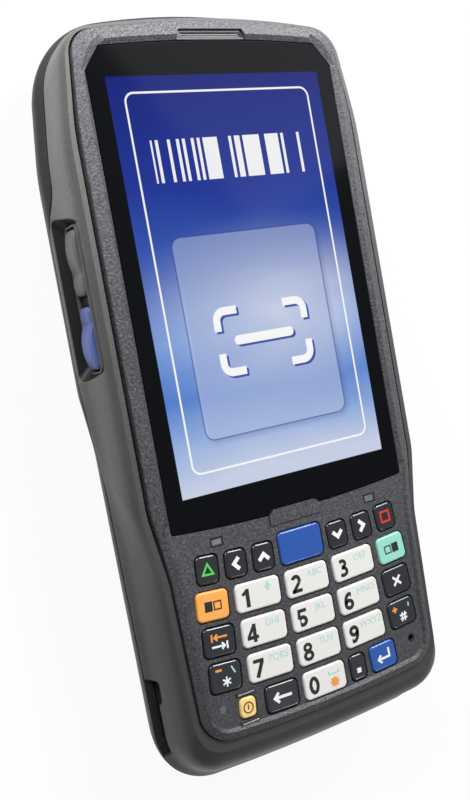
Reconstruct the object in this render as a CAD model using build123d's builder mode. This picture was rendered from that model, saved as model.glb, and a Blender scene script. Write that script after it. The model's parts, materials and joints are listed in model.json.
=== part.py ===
from build123d import *
import math
import os
from collections import namedtuple

# Handheld data terminal, lying on its back: +Z out of the display, +Y towards the earpiece end,
# +X to the right. The origin is the middle of the base, under the centre of the overall box. Millimetres.

# ---------------------------------------------------------------- driving dimensions
BODY_HEIGHT = 27.2          # back face to the crest of the bezel rim
RIM_RISE = 0.8              # the bezel rim stands this far above the glass and the keypad face
FACE_Z = BODY_HEIGHT - RIM_RISE
WALL = 1.8                  # housing wall
FIT = 0.15                  # clearance between pieces that only sit in one another
SLIDE_FIT = 0.3             # clearance round anything that travels

# levels of the stack, from the back to the front
BATTERY_THICK = 12.0
BAY_ROOF = 1.4
BOARD_THICK = 1.2
MAIN_BOARD_Z = 15.6
CHASSIS_THICK = 1.0
LEDGE_Z = 21.2              # underside of the mid frame's inner ledge, on which the chassis is screwed
BEZEL_FOOT_Z = 23.2         # top of that ledge, where the front bezel sits
LEDGE_WIDTH = 3.2           # from the bezel's edge inwards
BEZEL_GROOVE = 0.75         # open groove between the bezel's edge and the mid frame
BEZEL_EDGE_Z = 26.3         # the bezel's top slopes up from here, at its edge, to the crest
BEZEL_SLOPE_WIDTH = 2.6
BEZEL_EDGE = 0.4            # rounding of the bezel's outer edge
RIM_WIDTH = 2.3             # from the bezel's edge to the sunk keypad face
POCKET_WALL = 1.6           # wall round the pocket behind the keypad face
KEYPAD_BOARD_THICK = 1.0
MAT_THICK = 1.0
COVER_THICK = 1.6           # the keypad face, round the keys
GLASS_THICK = 1.1
GASKET_THICK = 0.5
PANEL_THICK = 2.6

# the seam between the mid frame and the rear cover, and its bow below the side buttons
SEAM_TOP_Z = 17.8           # along the display, beyond the bow
SEAM_Z = 16.0               # along the keypad
SEAM_BOW_Z = 15.0
SEAM_BOW_RUN = 10.0         # over this length the seam goes down into the bow
SEAM_BOW_BEYOND = 8.0       # the bow starts this far beyond the scoop
SEAM_BEND = 12.0            # rounding of the bends
SEAM_GAP = 0.3              # open joint along the seam
SEAM_GAP_DEPTH = 0.5

# display
PANEL_WIDTH = 55.0
PANEL_TOP = 67.2
PANEL_BOTTOM = -24.0
CUSHION_BORDER = 3.0
GLASS_HALF = 29.8
GLASS_SIDE_TOP = 67.5
GLASS_CHAMFER_X = 26.1
GLASS_CHAMFER_Y = 72.3
GLASS_TOP = 73.3
GLASS_SIDE_BOTTOM = -26.7
GLASS_BOTTOM = -28.1
GASKET_WIDTH = 1.6
LIP_HALF = 6.6              # the keypad face's raised lip at the middle of the glass's lower edge
LIP_STEP = 2.2
LIP_SLANT = 1.2
LIP_RISE = 0.35

# keypad
KEY_ROW_Y = -36.35          # centre of the top row, on the middle line
KEY_PITCH = 7.55
KEY_ARC = 0.0016            # rows rise towards the sides as KEY_ARC * x * x
KEY_COLUMN = 12.6
KEY_OUTER = 23.6
KEY_TOP_RISE = 0.25         # key tops above the keypad face
KEY_CORNER = 1.2
KEY_EDGE = 0.5
KEY_FLANGE = 0.55           # the flange that keeps a key behind the face is wider by this each side
KEY_FLANGE_THICK = 0.7
KEY_GAP = 0.28              # round each key in the face
DOME_RADIUS = 1.9
DOME_THICK = 0.3

# side buttons and their scoop
BUTTON_Z = 20.0
BUTTON_HEIGHT = 4.8
BUTTON_CORNER = 1.2
BUTTON_EDGE = 0.7
ROCKER_Y = 30.75
ROCKER_LENGTH = 13.4
TRIGGER_Y = 15.4
TRIGGER_LENGTH = 12.8
ROCKER_VALLEY_Y = 28.4      # where the rocker's two lobes meet
TRIGGER_VALLEY_Y = 18.3
BUTTON_END_X = 36.9
ROCKER_CROWNS = (37.3, 37.7)
TRIGGER_CROWNS = (38.0, 37.1)
BUTTON_FOOT_X = 34.6
BUTTON_TRAVEL = 0.7
STEM_RADIUS = 0.9
STEM_Z = 18.6               # the switches' level
STEM_END_X = 31.8
SCOOP_Y = 23.6
SCOOP_LENGTH = 30.0         # of its floor; the mouth is longer by its sloping ends
SCOOP_HEIGHT = 14.0         # its upper part runs out of the side
SCOOP_Z = 16.6              # lower edge of its floor
SCOOP_FLOOR_X = 36.0
SCOOP_LEAN = 1.5            # degrees that the floor leans outwards
SCOOP_CORNER = 2.5
CUTTER_REACH = 6.0          # length of the cutters in the sides, well beyond the skin
SCOOP_END_FLARE = 45
SCOOP_LOW_FLARE = 10
BLOCK_LENGTH = 37.2         # thickening behind the scoop
BLOCK_INNER_X = 32.6
BLOCK_WIDTH = 5.4

# docking notches in the sides and dock socket in the lower end
NOTCH_Y = -65.0
NOTCH_LENGTH = 16.0
NOTCH_TOP = 18.0            # the notch is open from here down to the seam
NOTCH_STEP_TOP = 19.2       # and higher at its upper end
NOTCH_STEP_LENGTH = 4.5
NOTCH_DEPTH = 2.4
NOTCH_FLARE = 14
NOTCH_CORNER = 1.0
NOTCH_FOOT_Z = 12.0         # the thickening behind it starts here
SOCKET_WIDTH = 26.0
SOCKET_HEIGHT = 5.4
SOCKET_Z = 9.4
SOCKET_FLOOR_Y = -75.6
SOCKET_WALL = 1.5
DOCK_THICK = 3.0
NOTCH_BLOCK_X = 31.9

# boards
CHASSIS_INSET = 1.6         # from the bezel's edge
MAIN_BOARD_WIDTH = 62.4
MAIN_BOARD_TOP_Y = 62.0
MAIN_BOARD_BOTTOM_Y = -71.0
SWITCH_FACE_X = 31.0
CONTACT_SIZE = (14.0, 4.0)
CONTACT_Y = -44.0

# battery
BATTERY_WIDTH = 56.0
BATTERY_TOP = 14.0
BATTERY_PIVOT_Y = -56.0
BATTERY_END_GAP = 0.5
GRIP_SIZE = (18.0, 3.0, 3.0)
BAY_WALL = 1.4

# scan engine and its window in the upper end
ENGINE_SIZE = (22.0, 13.0, 11.2)
ENGINE_Y = 70.2
ENGINE_Z = 10.0
WINDOW_WIDTH = 27.0
WINDOW_HEIGHT = 6.4
WINDOW_Y = 79.7
WINDOW_THICK = 1.0
WINDOW_Z = 9.8
WINDOW_SEAT = 2.1
WINDOW_FRAME = 1.8          # the housing is thick this far round the window

# earpiece, light windows and holes in the front
EARPIECE_SIZE = (15.0, 5.0, 2.8)
EARPIECE_Y = 72.6
EARPIECE_SLOT_Y = 74.3
EARPIECE_SLOT = (14.0, 1.0)
EARPIECE_RECESS_Z = 26.1
EARPIECE_RECESS_LOW = 8.8   # half width at the glass
EARPIECE_RECESS_HIGH = 7.7  # half width at its far side
EARPIECE_RECESS_Y = 75.5
MESH_THICK = 0.4
LIGHT_X = 20.0
LIGHT_Y = -30.4
LIGHT_SIZE = (2.5, 1.5)
SENSOR_X = -25.4
SENSOR_Y = -64.5
SENSOR_RADIUS = 0.8
MIC_X = 25.0
MIC_RADIUS = 0.6
MIC_SIZE = (4.0, 3.0, 1.3)

# camera and flash in the back
CAMERA_X = 19.0
CAMERA_Y = 52.0
CAMERA_RADIUS = 4.4
FLASH_Y = 62.0
FLASH_RADIUS = 2.1

# loudspeaker and its grille in the back
SPEAKER_X = -17.0
SPEAKER_Y = 34.0
SPEAKER_RADIUS = 8.5
SPEAKER_THICK = 4.0
MOTOR_RADIUS = 2.2
MOTOR_LENGTH = 9.0
GRILLE_HOLE = 0.75
GRILLE_PITCH = 2.6

# housing screws
SCREW_PLACES = [(31.4, 60.0), (32.0, -8.0), (30.6, -66.0)]
SCREW_RADIUS = 1.0
SCREW_HEAD_RADIUS = 1.9
SCREW_HEAD_THICK = 1.6
SCREW_HEAD_Z = 5.0
POST_RADIUS = 2.9
SCREW_TOP_Z = 19.6

# ---------------------------------------------------------------- derived levels
BAY_ROOF_Z = BATTERY_THICK + BATTERY_END_GAP
MAIN_BOARD_TOP = MAIN_BOARD_Z + BOARD_THICK
CHASSIS_Z = LEDGE_Z - CHASSIS_THICK
KEYPAD_BOARD_Z = LEDGE_Z
MAT_Z = KEYPAD_BOARD_Z + KEYPAD_BOARD_THICK
MAT_TOP = MAT_Z + MAT_THICK
COVER_Z = FACE_Z - COVER_THICK
FLANGE_TOP = COVER_Z - 0.05
FLANGE_Z = FLANGE_TOP - KEY_FLANGE_THICK
GLASS_Z = FACE_Z - GLASS_THICK
GASKET_Z = GLASS_Z - GASKET_THICK
PANEL_Z = GLASS_Z - PANEL_THICK

# An outline of the housing at one height: half width over the display, waist below it, foot at the lower
# end, the end positions, the corners where the top arc meets the sides, and where the sides run in to the
# waist.
OUTLINE_FIELDS = "z half waist foot top bottom shoulder taper_y waist_top waist_end r_top r_foot"
Outline = namedtuple("Outline", OUTLINE_FIELDS)

FACE = Outline(FACE_Z, 33.3, 31.5, 30.6, 77.5, -72.2, (31.5, 75.3), 56, -22, -36, 5.5, 7)
HULL = [
    Outline(0.0, 29.2, 28.5, 27.0, 74.0, -73.4, (26.4, 71.4), 50, 4, -8, 11, 11),
    Outline(0.9, 31.8, 31.0, 29.4, 76.8, -76.0, (29.0, 73.8), 50, 4, -8, 13, 13),
    Outline(3.2, 34.5, 33.4, 32.0, 79.6, -79.2, (31.6, 75.9), 50, 4, -8, 14.5, 13.5),
    Outline(8.0, 36.9, 35.6, 34.8, 81.4, -81.6, (33.8, 77.4), 50, 4, -8, 17.5, 14),
    Outline(13.4, 38.9, 37.6, 36.8, 82.2, -82.2, (35.5, 78.0), 50, 4, -8, 19, 13.5),
    Outline(17.2, 38.2, 37.0, 36.2, 81.2, -81.2, (34.8, 77.4), 50, -8, -24, 17, 12.5),
    Outline(20.6, 37.4, 35.6, 34.9, 79.8, -79.5, (34.1, 76.9), 52, -17, -32, 12.8, 10),
    Outline(24.0, 36.3, 33.8, 33.2, 78.8, -77.2, (33.2, 76.2), 54, -21, -35, 9, 7),
    Outline(25.6, 35.2, 32.9, 32.0, 78.2, -74.4, (32.6, 75.6), 55, -22, -36, 7.5, 7),
]


def outline_sketch(outline, inset=0.0, z=None):
    """A closed outline of the housing, drawn inset from its outer skin, on its own level or on z."""
    level = outline.z if z is None else z
    sx = outline.shoulder[0] - inset
    sy = outline.shoulder[1] - inset
    half = outline.half - inset
    waist = outline.waist - inset
    foot = outline.foot - inset
    end_y = outline.bottom + inset + 1.3
    with BuildSketch(Plane.XY.offset(level)) as sketch:
        with BuildLine():
            ThreePointArc((-sx, sy), (0, outline.top - inset), (sx, sy))
            Polyline(
                (sx, sy),
                (half, outline.taper_y),
                (half, outline.waist_top),
                (waist, outline.waist_end),
                (foot, end_y),
            )
            ThreePointArc((foot, end_y), (0, outline.bottom + inset), (-foot, end_y))
            Polyline(
                (-foot, end_y),
                (-waist, outline.waist_end),
                (-half, outline.waist_top),
                (-half, outline.taper_y),
                (-sx, sy),
            )
        make_face()

        def corner(x, y):
            return [v for v in sketch.vertices() if abs(abs(v.X) - x) < 1e-3 and abs(v.Y - y) < 1e-3]

        fillet(corner(sx, sy), outline.r_top - inset)
        fillet(corner(half, outline.taper_y), 60)
        fillet(corner(half, outline.waist_top), 20)
        fillet(corner(waist, outline.waist_end), 20)
        fillet(corner(foot, end_y), outline.r_foot - inset)
    return sketch.sketch


def glass_sketch(z, inset=0.0):
    """The display glass's outline: chamfered upper corners, gently bowed ends."""
    half = GLASS_HALF - inset
    cut = inset * 0.45
    with BuildSketch(Plane.XY.offset(z)) as sketch:
        with BuildLine():
            ThreePointArc(
                (-GLASS_CHAMFER_X + cut, GLASS_CHAMFER_Y - inset),
                (0, GLASS_TOP - inset),
                (GLASS_CHAMFER_X - cut, GLASS_CHAMFER_Y - inset),
            )
            Line((GLASS_CHAMFER_X - cut, GLASS_CHAMFER_Y - inset), (half, GLASS_SIDE_TOP - cut))
            Line((half, GLASS_SIDE_TOP - cut), (half, GLASS_SIDE_BOTTOM + inset))
            ThreePointArc(
                (half, GLASS_SIDE_BOTTOM + inset),
                (0, GLASS_BOTTOM + inset),
                (-half, GLASS_SIDE_BOTTOM + inset),
            )
            Line((-half, GLASS_SIDE_BOTTOM + inset), (-half, GLASS_SIDE_TOP - cut))
            Line((-half, GLASS_SIDE_TOP - cut), (-GLASS_CHAMFER_X + cut, GLASS_CHAMFER_Y - inset))
        make_face()
        fillet(sketch.vertices(), 0.8)
    return sketch.sketch


def lip_sketch(z, grow=0.0):
    """The lip of the keypad face that reaches into the middle of the glass's lower edge."""
    top = GLASS_BOTTOM + 1.0 + grow
    with BuildSketch(Plane.XY.offset(z)) as sketch:
        with BuildLine():
            Polyline(
                (-LIP_HALF - grow, GLASS_BOTTOM - LIP_STEP),
                (-LIP_HALF - grow, GLASS_BOTTOM - 0.1),
                (-LIP_HALF - grow + LIP_SLANT, top),
                (LIP_HALF + grow - LIP_SLANT, top),
                (LIP_HALF + grow, GLASS_BOTTOM - 0.1),
                (LIP_HALF + grow, GLASS_BOTTOM - LIP_STEP),
                close=True,
            )
        make_face()
    return sketch.sketch


def save(piece, name):
    """Label a finished piece and write it."""
    piece.label = name
    export_step(piece, os.path.join("parts", name + ".step"))


os.makedirs("parts", exist_ok=True)

# ---------------------------------------------------------------- keys
# name, place in the rows, size and lift above the row
Key = namedtuple("Key", "name x row width height lift", defaults=[0.0])
DIGIT_W = 11.1
DIGIT_H = 6.2
KEYS = [
    Key("triangle_key", -23.35, 0, 5.2, 6.0),
    Key("left_key", -16.55, 0, 5.1, 5.9),
    Key("up_key", -9.75, 0, 5.1, 5.9),
    Key("scan_key", 0.0, 0, 11.2, 7.3, 0.45),
    Key("down_key", 9.75, 0, 5.1, 5.9),
    Key("right_key", 16.55, 0, 5.1, 5.9),
    Key("square_key", 23.35, 0, 5.2, 6.0),
    Key("orange_shift_key", -KEY_OUTER, 1, 7.6, DIGIT_H),
    Key("digit_1_key", -KEY_COLUMN, 1, DIGIT_W, DIGIT_H),
    Key("digit_2_key", 0.0, 1, DIGIT_W, DIGIT_H),
    Key("digit_3_key", KEY_COLUMN, 1, DIGIT_W, DIGIT_H),
    Key("mint_shift_key", KEY_OUTER, 1, 7.6, DIGIT_H),
    Key("tab_key", -KEY_OUTER, 2, 7.4, DIGIT_H),
    Key("digit_4_key", -KEY_COLUMN, 2, DIGIT_W, DIGIT_H),
    Key("digit_5_key", 0.0, 2, DIGIT_W, DIGIT_H),
    Key("digit_6_key", KEY_COLUMN, 2, DIGIT_W, DIGIT_H),
    Key("escape_key", KEY_OUTER, 2, 7.4, DIGIT_H),
    Key("minus_key", -KEY_OUTER, 3, 7.4, DIGIT_H),
    Key("digit_7_key", -KEY_COLUMN, 3, DIGIT_W, DIGIT_H),
    Key("digit_8_key", 0.0, 3, DIGIT_W, DIGIT_H),
    Key("digit_9_key", KEY_COLUMN, 3, DIGIT_W, DIGIT_H),
    Key("plus_key", KEY_OUTER, 3, 7.4, DIGIT_H),
    Key("power_key", -19.75, 4, 4.0, 4.4),
    Key("erase_key", -11.2, 4, 8.2, 5.9),
    Key("digit_0_key", 0.0, 4, DIGIT_W, DIGIT_H),
    Key("point_key", 9.15, 4, 4.2, 5.8),
    Key("enter_key", 16.4, 4, 7.2, 6.0),
]


def key_y(key):
    return KEY_ROW_Y - KEY_PITCH * key.row + KEY_ARC * key.x * key.x + key.lift


def key_angle(key):
    return math.degrees(math.atan(2 * KEY_ARC * key.x))


def key_plane(key, z):
    """A plane at height z, centred on a key and turned with its row."""
    turn = math.radians(key_angle(key))
    return Plane(origin=(key.x, key_y(key), z), x_dir=(math.cos(turn), math.sin(turn), 0), z_dir=(0, 0, 1))


def key_places():
    """Every key with its place, for the patterns cut under and round the keys."""
    for key in KEYS:
        yield key, Location((key.x, key_y(key), 0), (0, 0, key_angle(key)))


def make_keys():
    for key in KEYS:
        top = FACE_Z + KEY_TOP_RISE
        with BuildPart() as cap:
            with BuildSketch(key_plane(key, FLANGE_Z)):
                RectangleRounded(key.width, key.height, KEY_CORNER)
            extrude(amount=top - FLANGE_Z)
            crown = cap.edges().group_by(Axis.Z)[-1]
            fillet(crown, KEY_EDGE)
            with BuildSketch(key_plane(key, FLANGE_Z)):
                RectangleRounded(
                    key.width + 2 * KEY_FLANGE, key.height + 2 * KEY_FLANGE, KEY_CORNER + KEY_FLANGE
                )
            extrude(amount=KEY_FLANGE_THICK)
        save(cap.part, key.name)



def add_block(x, y, z_low, z_high, width, length, mode=Mode.ADD):
    """A box between two heights, centred on x and y."""
    with Locations((x, y, z_low)):
        Box(width, length, z_high - z_low, align=(Align.CENTER, Align.CENTER, Align.MIN), mode=mode)


def add_post(x, y, z_low, z_high, radius, mode=Mode.ADD):
    """An upright cylinder between two heights."""
    with Locations((x, y, z_low)):
        Cylinder(radius, z_high - z_low, align=(Align.CENTER, Align.CENTER, Align.MIN), mode=mode)


def lay_slab(sketch, z_low, z_high, mode=Mode.ADD):
    """Extrude a flat sketch between two heights."""
    add(extrude(sketch, amount=z_high - z_low, mode=Mode.PRIVATE), mode=mode)


# ---------------------------------------------------------------- housing
def hull_part():
    """The whole outer skin, before it is parted at the seam."""
    with BuildPart() as hull_block:
        loft(sections=[outline_sketch(level) for level in HULL])
    return hull_block.part


def cavity_part():
    """The space inside the walls, from the floor up to the ledge."""
    with BuildPart() as hollow:
        loft(sections=[outline_sketch(level, WALL) for level in HULL])
        split(bisect_by=Plane.XY.offset(WALL), keep=Keep.TOP)
        split(bisect_by=Plane.XY.offset(LEDGE_Z), keep=Keep.BOTTOM)
    return hollow.part


def seam_region(raised=0.0):
    """Everything above the seam between mid frame and rear cover, which bows down below the side buttons."""
    far = 100.0
    bow = SCOOP_LENGTH / 2 + SEAM_BOW_BEYOND
    high = SEAM_TOP_Z + raised
    low = SEAM_BOW_Z + raised
    lower_end = SEAM_Z + raised
    with BuildPart() as region:
        with BuildSketch(Plane.YZ) as profile:
            with BuildLine():
                Polyline(
                    (-far, lower_end),
                    (-far, far),
                    (far, far),
                    (far, high),
                    (SCOOP_Y + bow, high),
                    (SCOOP_Y + bow - SEAM_BOW_RUN, low),
                    (SCOOP_Y - bow + SEAM_BOW_RUN, low),
                    (SCOOP_Y - bow, lower_end),
                    close=True,
                )
            make_face()
            bends = [v for v in profile.vertices() if abs(v.X - SCOOP_Y) < bow + 1]
            fillet(bends, SEAM_BEND)
        extrude(amount=far, both=True)
    return region.part


def seam_groove():
    """The open joint that shows as a dark line along the seam."""
    with BuildPart() as groove:
        add(hull)
        add(seam_region(-SEAM_GAP / 2), mode=Mode.INTERSECT)
        add(seam_region(SEAM_GAP / 2), mode=Mode.SUBTRACT)
        loft(sections=[outline_sketch(level, SEAM_GAP_DEPTH) for level in HULL], mode=Mode.SUBTRACT)
    return groove.part


def side_plane(side, x, y, z, lean=0.0):
    """A plane whose normal points out of one side, with its own Y upwards, leaning outwards at the top."""
    tilt = math.radians(lean)
    normal = (side * math.cos(tilt), 0, -math.sin(tilt))
    return Plane(origin=(side * x, y, z), x_dir=(0, side, 0), z_dir=normal)


def flared_cutter(plane, length, height, corner, end_flare, side_flare):
    """A cutter that stands on a plane's middle and widens outwards, by two angles in degrees."""
    end_growth = 2 * CUTTER_REACH * math.tan(math.radians(end_flare))
    side_growth = 2 * CUTTER_REACH * math.tan(math.radians(side_flare))
    with BuildPart() as cutter:
        with BuildSketch(plane):
            RectangleRounded(length, height, corner)
        with BuildSketch(plane.offset(CUTTER_REACH)):
            RectangleRounded(length + end_growth, height + side_growth, corner)
        loft()
    return cutter.part


def scoop_cutter(side):
    """The side buttons' scoop: a steep lower wall, sloping ends, and a floor that runs out upwards."""
    floor = side_plane(side, SCOOP_FLOOR_X, SCOOP_Y, SCOOP_Z, SCOOP_LEAN)
    middle = Plane(floor * Pos(0, SCOOP_HEIGHT / 2, 0))
    return flared_cutter(middle, SCOOP_LENGTH, SCOOP_HEIGHT, SCOOP_CORNER, SCOOP_END_FLARE, SCOOP_LOW_FLARE)


def notch_cutters(side):
    """The docking notch in the lower side of the mid frame, and its higher step."""
    floor_x = HULL[4].foot - NOTCH_DEPTH
    step_y = NOTCH_Y + (NOTCH_LENGTH - NOTCH_STEP_LENGTH) / 2
    whole = (NOTCH_Y, NOTCH_LENGTH, NOTCH_TOP)
    step = (step_y, NOTCH_STEP_LENGTH, NOTCH_STEP_TOP)
    for y, length, top in (whole, step):
        height = 2 * (top - SEAM_Z)
        middle = side_plane(side, floor_x, y, SEAM_Z)
        yield flared_cutter(middle, length, height, NOTCH_CORNER, NOTCH_FLARE, NOTCH_FLARE)


def stem_places():
    """Along Y, the push stems of the rocker's two ends and of the long button."""
    return (ROCKER_Y - ROCKER_LENGTH / 4, ROCKER_Y + ROCKER_LENGTH / 4, TRIGGER_Y)


def button_guides():
    """The guides that the four side buttons and their stems run in."""
    guide_x = BUTTON_FOOT_X - BUTTON_TRAVEL - 0.1
    with BuildPart() as guides:
        for side in (-1, 1):
            for y, length in ((ROCKER_Y, ROCKER_LENGTH), (TRIGGER_Y, TRIGGER_LENGTH)):
                with BuildSketch(side_plane(side, guide_x, y, BUTTON_Z)):
                    RectangleRounded(
                        length + 2 * SLIDE_FIT, BUTTON_HEIGHT + 2 * SLIDE_FIT, BUTTON_CORNER + SLIDE_FIT
                    )
                extrude(amount=6)
            for y in stem_places():
                with BuildSketch(side_plane(side, BLOCK_INNER_X - 1, y, STEM_Z)):
                    Circle(STEM_RADIUS + SLIDE_FIT)
                extrude(amount=3)
    return guides.part


def screw_places():
    for x, y in SCREW_PLACES:
        yield (x, y)
        yield (-x, y)


def notch_blocks(z_low, z_high):
    """The thickening behind each docking notch."""
    for side in (-1, 1):
        add_block(side * (NOTCH_BLOCK_X + 1.6), NOTCH_Y, z_low, z_high, 3.2, NOTCH_LENGTH + 4)


hull = hull_part()
cavity = cavity_part()
above_seam = seam_region()
seam_line = seam_groove()
guides = button_guides()


def bezel_seat():
    """The outline of the bezel's well: an open groove along the display, a tight fit at both ends."""
    sx, sy = FACE.shoulder
    return FACE._replace(
        z=BEZEL_FOOT_Z,
        half=FACE.half + BEZEL_GROOVE,
        waist=FACE.waist + BEZEL_GROOVE / 2,
        foot=FACE.foot + FIT,
        top=FACE.top + FIT,
        shoulder=(sx + BEZEL_GROOVE / 2, sy + FIT),
        bottom=FACE.bottom - FIT,
    )


def make_mid_frame():
    with BuildPart() as inner:
        for side in (-1, 1):
            x = side * (BLOCK_INNER_X + BLOCK_WIDTH / 2)
            add_block(x, SCOOP_Y, SEAM_BOW_Z, LEDGE_Z, BLOCK_WIDTH, BLOCK_LENGTH)
        notch_blocks(SEAM_Z, LEDGE_Z)
        for x, y in screw_places():
            add_post(x, y, SEAM_BOW_Z, LEDGE_Z, POST_RADIUS)
        add(hull, mode=Mode.INTERSECT)
        add(above_seam, mode=Mode.INTERSECT)
    with BuildPart() as cuts:
        add(seam_line)
        lay_slab(outline_sketch(FACE, LEDGE_WIDTH, LEDGE_Z), LEDGE_Z, BODY_HEIGHT)
        lay_slab(outline_sketch(bezel_seat()), BEZEL_FOOT_Z, BODY_HEIGHT)
        room = 2 * FIT
        add_block(0, EARPIECE_Y, CHASSIS_Z, BEZEL_FOOT_Z, EARPIECE_SIZE[0] + room, EARPIECE_SIZE[1] + room)
        for side in (-1, 1):
            add(scoop_cutter(side))
            for notch in notch_cutters(side):
                add(notch)
        add(guides)
        for x, y in screw_places():
            add_post(x, y, SEAM_BOW_Z - 1, SCREW_TOP_Z + 0.3, SCREW_RADIUS + 0.02)
    with BuildPart() as mid:
        add(hull)
        add(above_seam, mode=Mode.INTERSECT)
        add(cavity, mode=Mode.SUBTRACT)
        add(inner.part)
        add(cuts.part, mode=Mode.SUBTRACT)
    save(mid.part, "mid_frame")


def make_rear_cover():
    bay_x = BATTERY_WIDTH / 2 + SLIDE_FIT
    toe = BAY_ROOF_Z - BATTERY_THICK / 2
    bay_low = BATTERY_PIVOT_Y - toe - BAY_WALL
    bay_high = BATTERY_TOP + BATTERY_END_GAP + BAY_WALL
    roof_top = BAY_ROOF_Z + BAY_ROOF
    socket_deep = 12.0
    with BuildPart() as inner:
        add_block(0, (bay_low + bay_high) / 2, 0, roof_top, 2 * (bay_x + BAY_WALL), bay_high - bay_low)
        for x in (-20, 20):
            for y in (bay_low + 4, bay_high - 4):
                add_block(x, y, roof_top, MAIN_BOARD_Z, 4, 4)
        for x, y in screw_places():
            add_post(x, y, WALL / 2, SEAM_TOP_Z, POST_RADIUS)
        engine_foot = ENGINE_Z - ENGINE_SIZE[2] / 2
        add_block(0, ENGINE_Y - 1, WALL / 2, engine_foot, ENGINE_SIZE[0] - 4, ENGINE_SIZE[1] - 4)
        add_block(
            0,
            WINDOW_Y - WINDOW_SEAT / 2 + 0.6,
            WINDOW_Z - WINDOW_HEIGHT / 2 - WINDOW_FRAME,
            WINDOW_Z + WINDOW_HEIGHT / 2 + WINDOW_FRAME,
            WINDOW_WIDTH + 4,
            WINDOW_SEAT + 1.2,
        )
        add_block(
            0,
            SOCKET_FLOOR_Y + DOCK_THICK / 2 - socket_deep / 2,
            SOCKET_Z - SOCKET_HEIGHT / 2 - SOCKET_WALL,
            SOCKET_Z + SOCKET_HEIGHT / 2 + SOCKET_WALL,
            SOCKET_WIDTH + 2 * SOCKET_WALL,
            socket_deep + DOCK_THICK,
        )
        notch_blocks(NOTCH_FOOT_Z, SEAM_Z)
        add(hull, mode=Mode.INTERSECT)
        add(above_seam, mode=Mode.SUBTRACT)
    with BuildPart() as cuts:
        # the battery bay, with a hollow round the battery's toe
        with BuildSketch(Plane.YZ):
            with BuildLine():
                Polyline(
                    (BATTERY_PIVOT_Y, -1),
                    (BATTERY_TOP + BATTERY_END_GAP, -1),
                    (BATTERY_TOP + BATTERY_END_GAP, BAY_ROOF_Z),
                    (BATTERY_PIVOT_Y, BAY_ROOF_Z),
                    close=True,
                )
            make_face()
            with Locations((BATTERY_PIVOT_Y, BATTERY_THICK / 2)):
                Circle(toe)
        extrude(amount=bay_x, both=True)
        room = 2 * SLIDE_FIT
        add_block(0, CONTACT_Y, BATTERY_THICK, MAIN_BOARD_Z, CONTACT_SIZE[0] + room, CONTACT_SIZE[1] + room)
        add_block(
            0,
            SOCKET_FLOOR_Y + DOCK_THICK + 1 - 10,
            SOCKET_Z - SOCKET_HEIGHT / 2,
            SOCKET_Z + SOCKET_HEIGHT / 2,
            SOCKET_WIDTH,
            20,
        )
        low = WINDOW_Z - WINDOW_HEIGHT / 2
        high = WINDOW_Z + WINDOW_HEIGHT / 2
        add_block(0, WINDOW_Y + 5, low - FIT, high + FIT, WINDOW_WIDTH + 2 * FIT, 10)
        add_block(0, WINDOW_Y, low + 1, high - 1, WINDOW_WIDTH - 3, 10)
        add_post(CAMERA_X, CAMERA_Y, -1, WINDOW_THICK, CAMERA_RADIUS + 0.05)
        add_post(CAMERA_X, CAMERA_Y, -1, WALL + 1, CAMERA_RADIUS - 1.2)
        add_post(CAMERA_X, FLASH_Y, -1, WALL + 1, FLASH_RADIUS + 0.05)
        with Locations((SPEAKER_X, SPEAKER_Y, WALL / 2)):
            with GridLocations(GRILLE_PITCH, GRILLE_PITCH, 4, 4):
                Cylinder(GRILLE_HOLE, 2 * WALL)
        add(seam_line)
        for x, y in screw_places():
            add_post(x, y, -1, SCREW_HEAD_Z + SCREW_HEAD_THICK, SCREW_HEAD_RADIUS + 0.15)
            add_post(x, y, -1, SEAM_TOP_Z + 1, SCREW_RADIUS + 0.02)
    with BuildPart() as rear:
        add(hull)
        add(above_seam, mode=Mode.SUBTRACT)
        add(cavity, mode=Mode.SUBTRACT)
        add(inner.part)
        add(cuts.part, mode=Mode.SUBTRACT)
    save(rear.part, "rear_cover")


def keypad_outline(inset, z, top_y):
    """The part of the face outline below top_y, drawn inset."""
    far = 200
    with BuildSketch(Plane.XY.offset(z)) as sketch:
        add(outline_sketch(FACE, inset, z))
        with Locations((0, top_y - far / 2)):
            Rectangle(far, far, mode=Mode.INTERSECT)
    return sketch.sketch


KEYPAD_TOP = GLASS_BOTTOM - 1.2


def corner_facet(side):
    """The foot of the broad facet beside each chamfered upper corner of the glass."""
    with BuildSketch(Plane.XY.offset(FACE_Z)) as sketch:
        with BuildLine():
            Polyline(
                (side * (GLASS_CHAMFER_X - 0.2), GLASS_CHAMFER_Y - 0.8),
                (side * GLASS_CHAMFER_X, GLASS_CHAMFER_Y + FIT),
                (side * (GLASS_HALF + FIT), GLASS_SIDE_TOP + FIT),
                (side * (GLASS_HALF - 1), GLASS_SIDE_TOP),
                close=True,
            )
        make_face()
    return sketch.sketch


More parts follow.
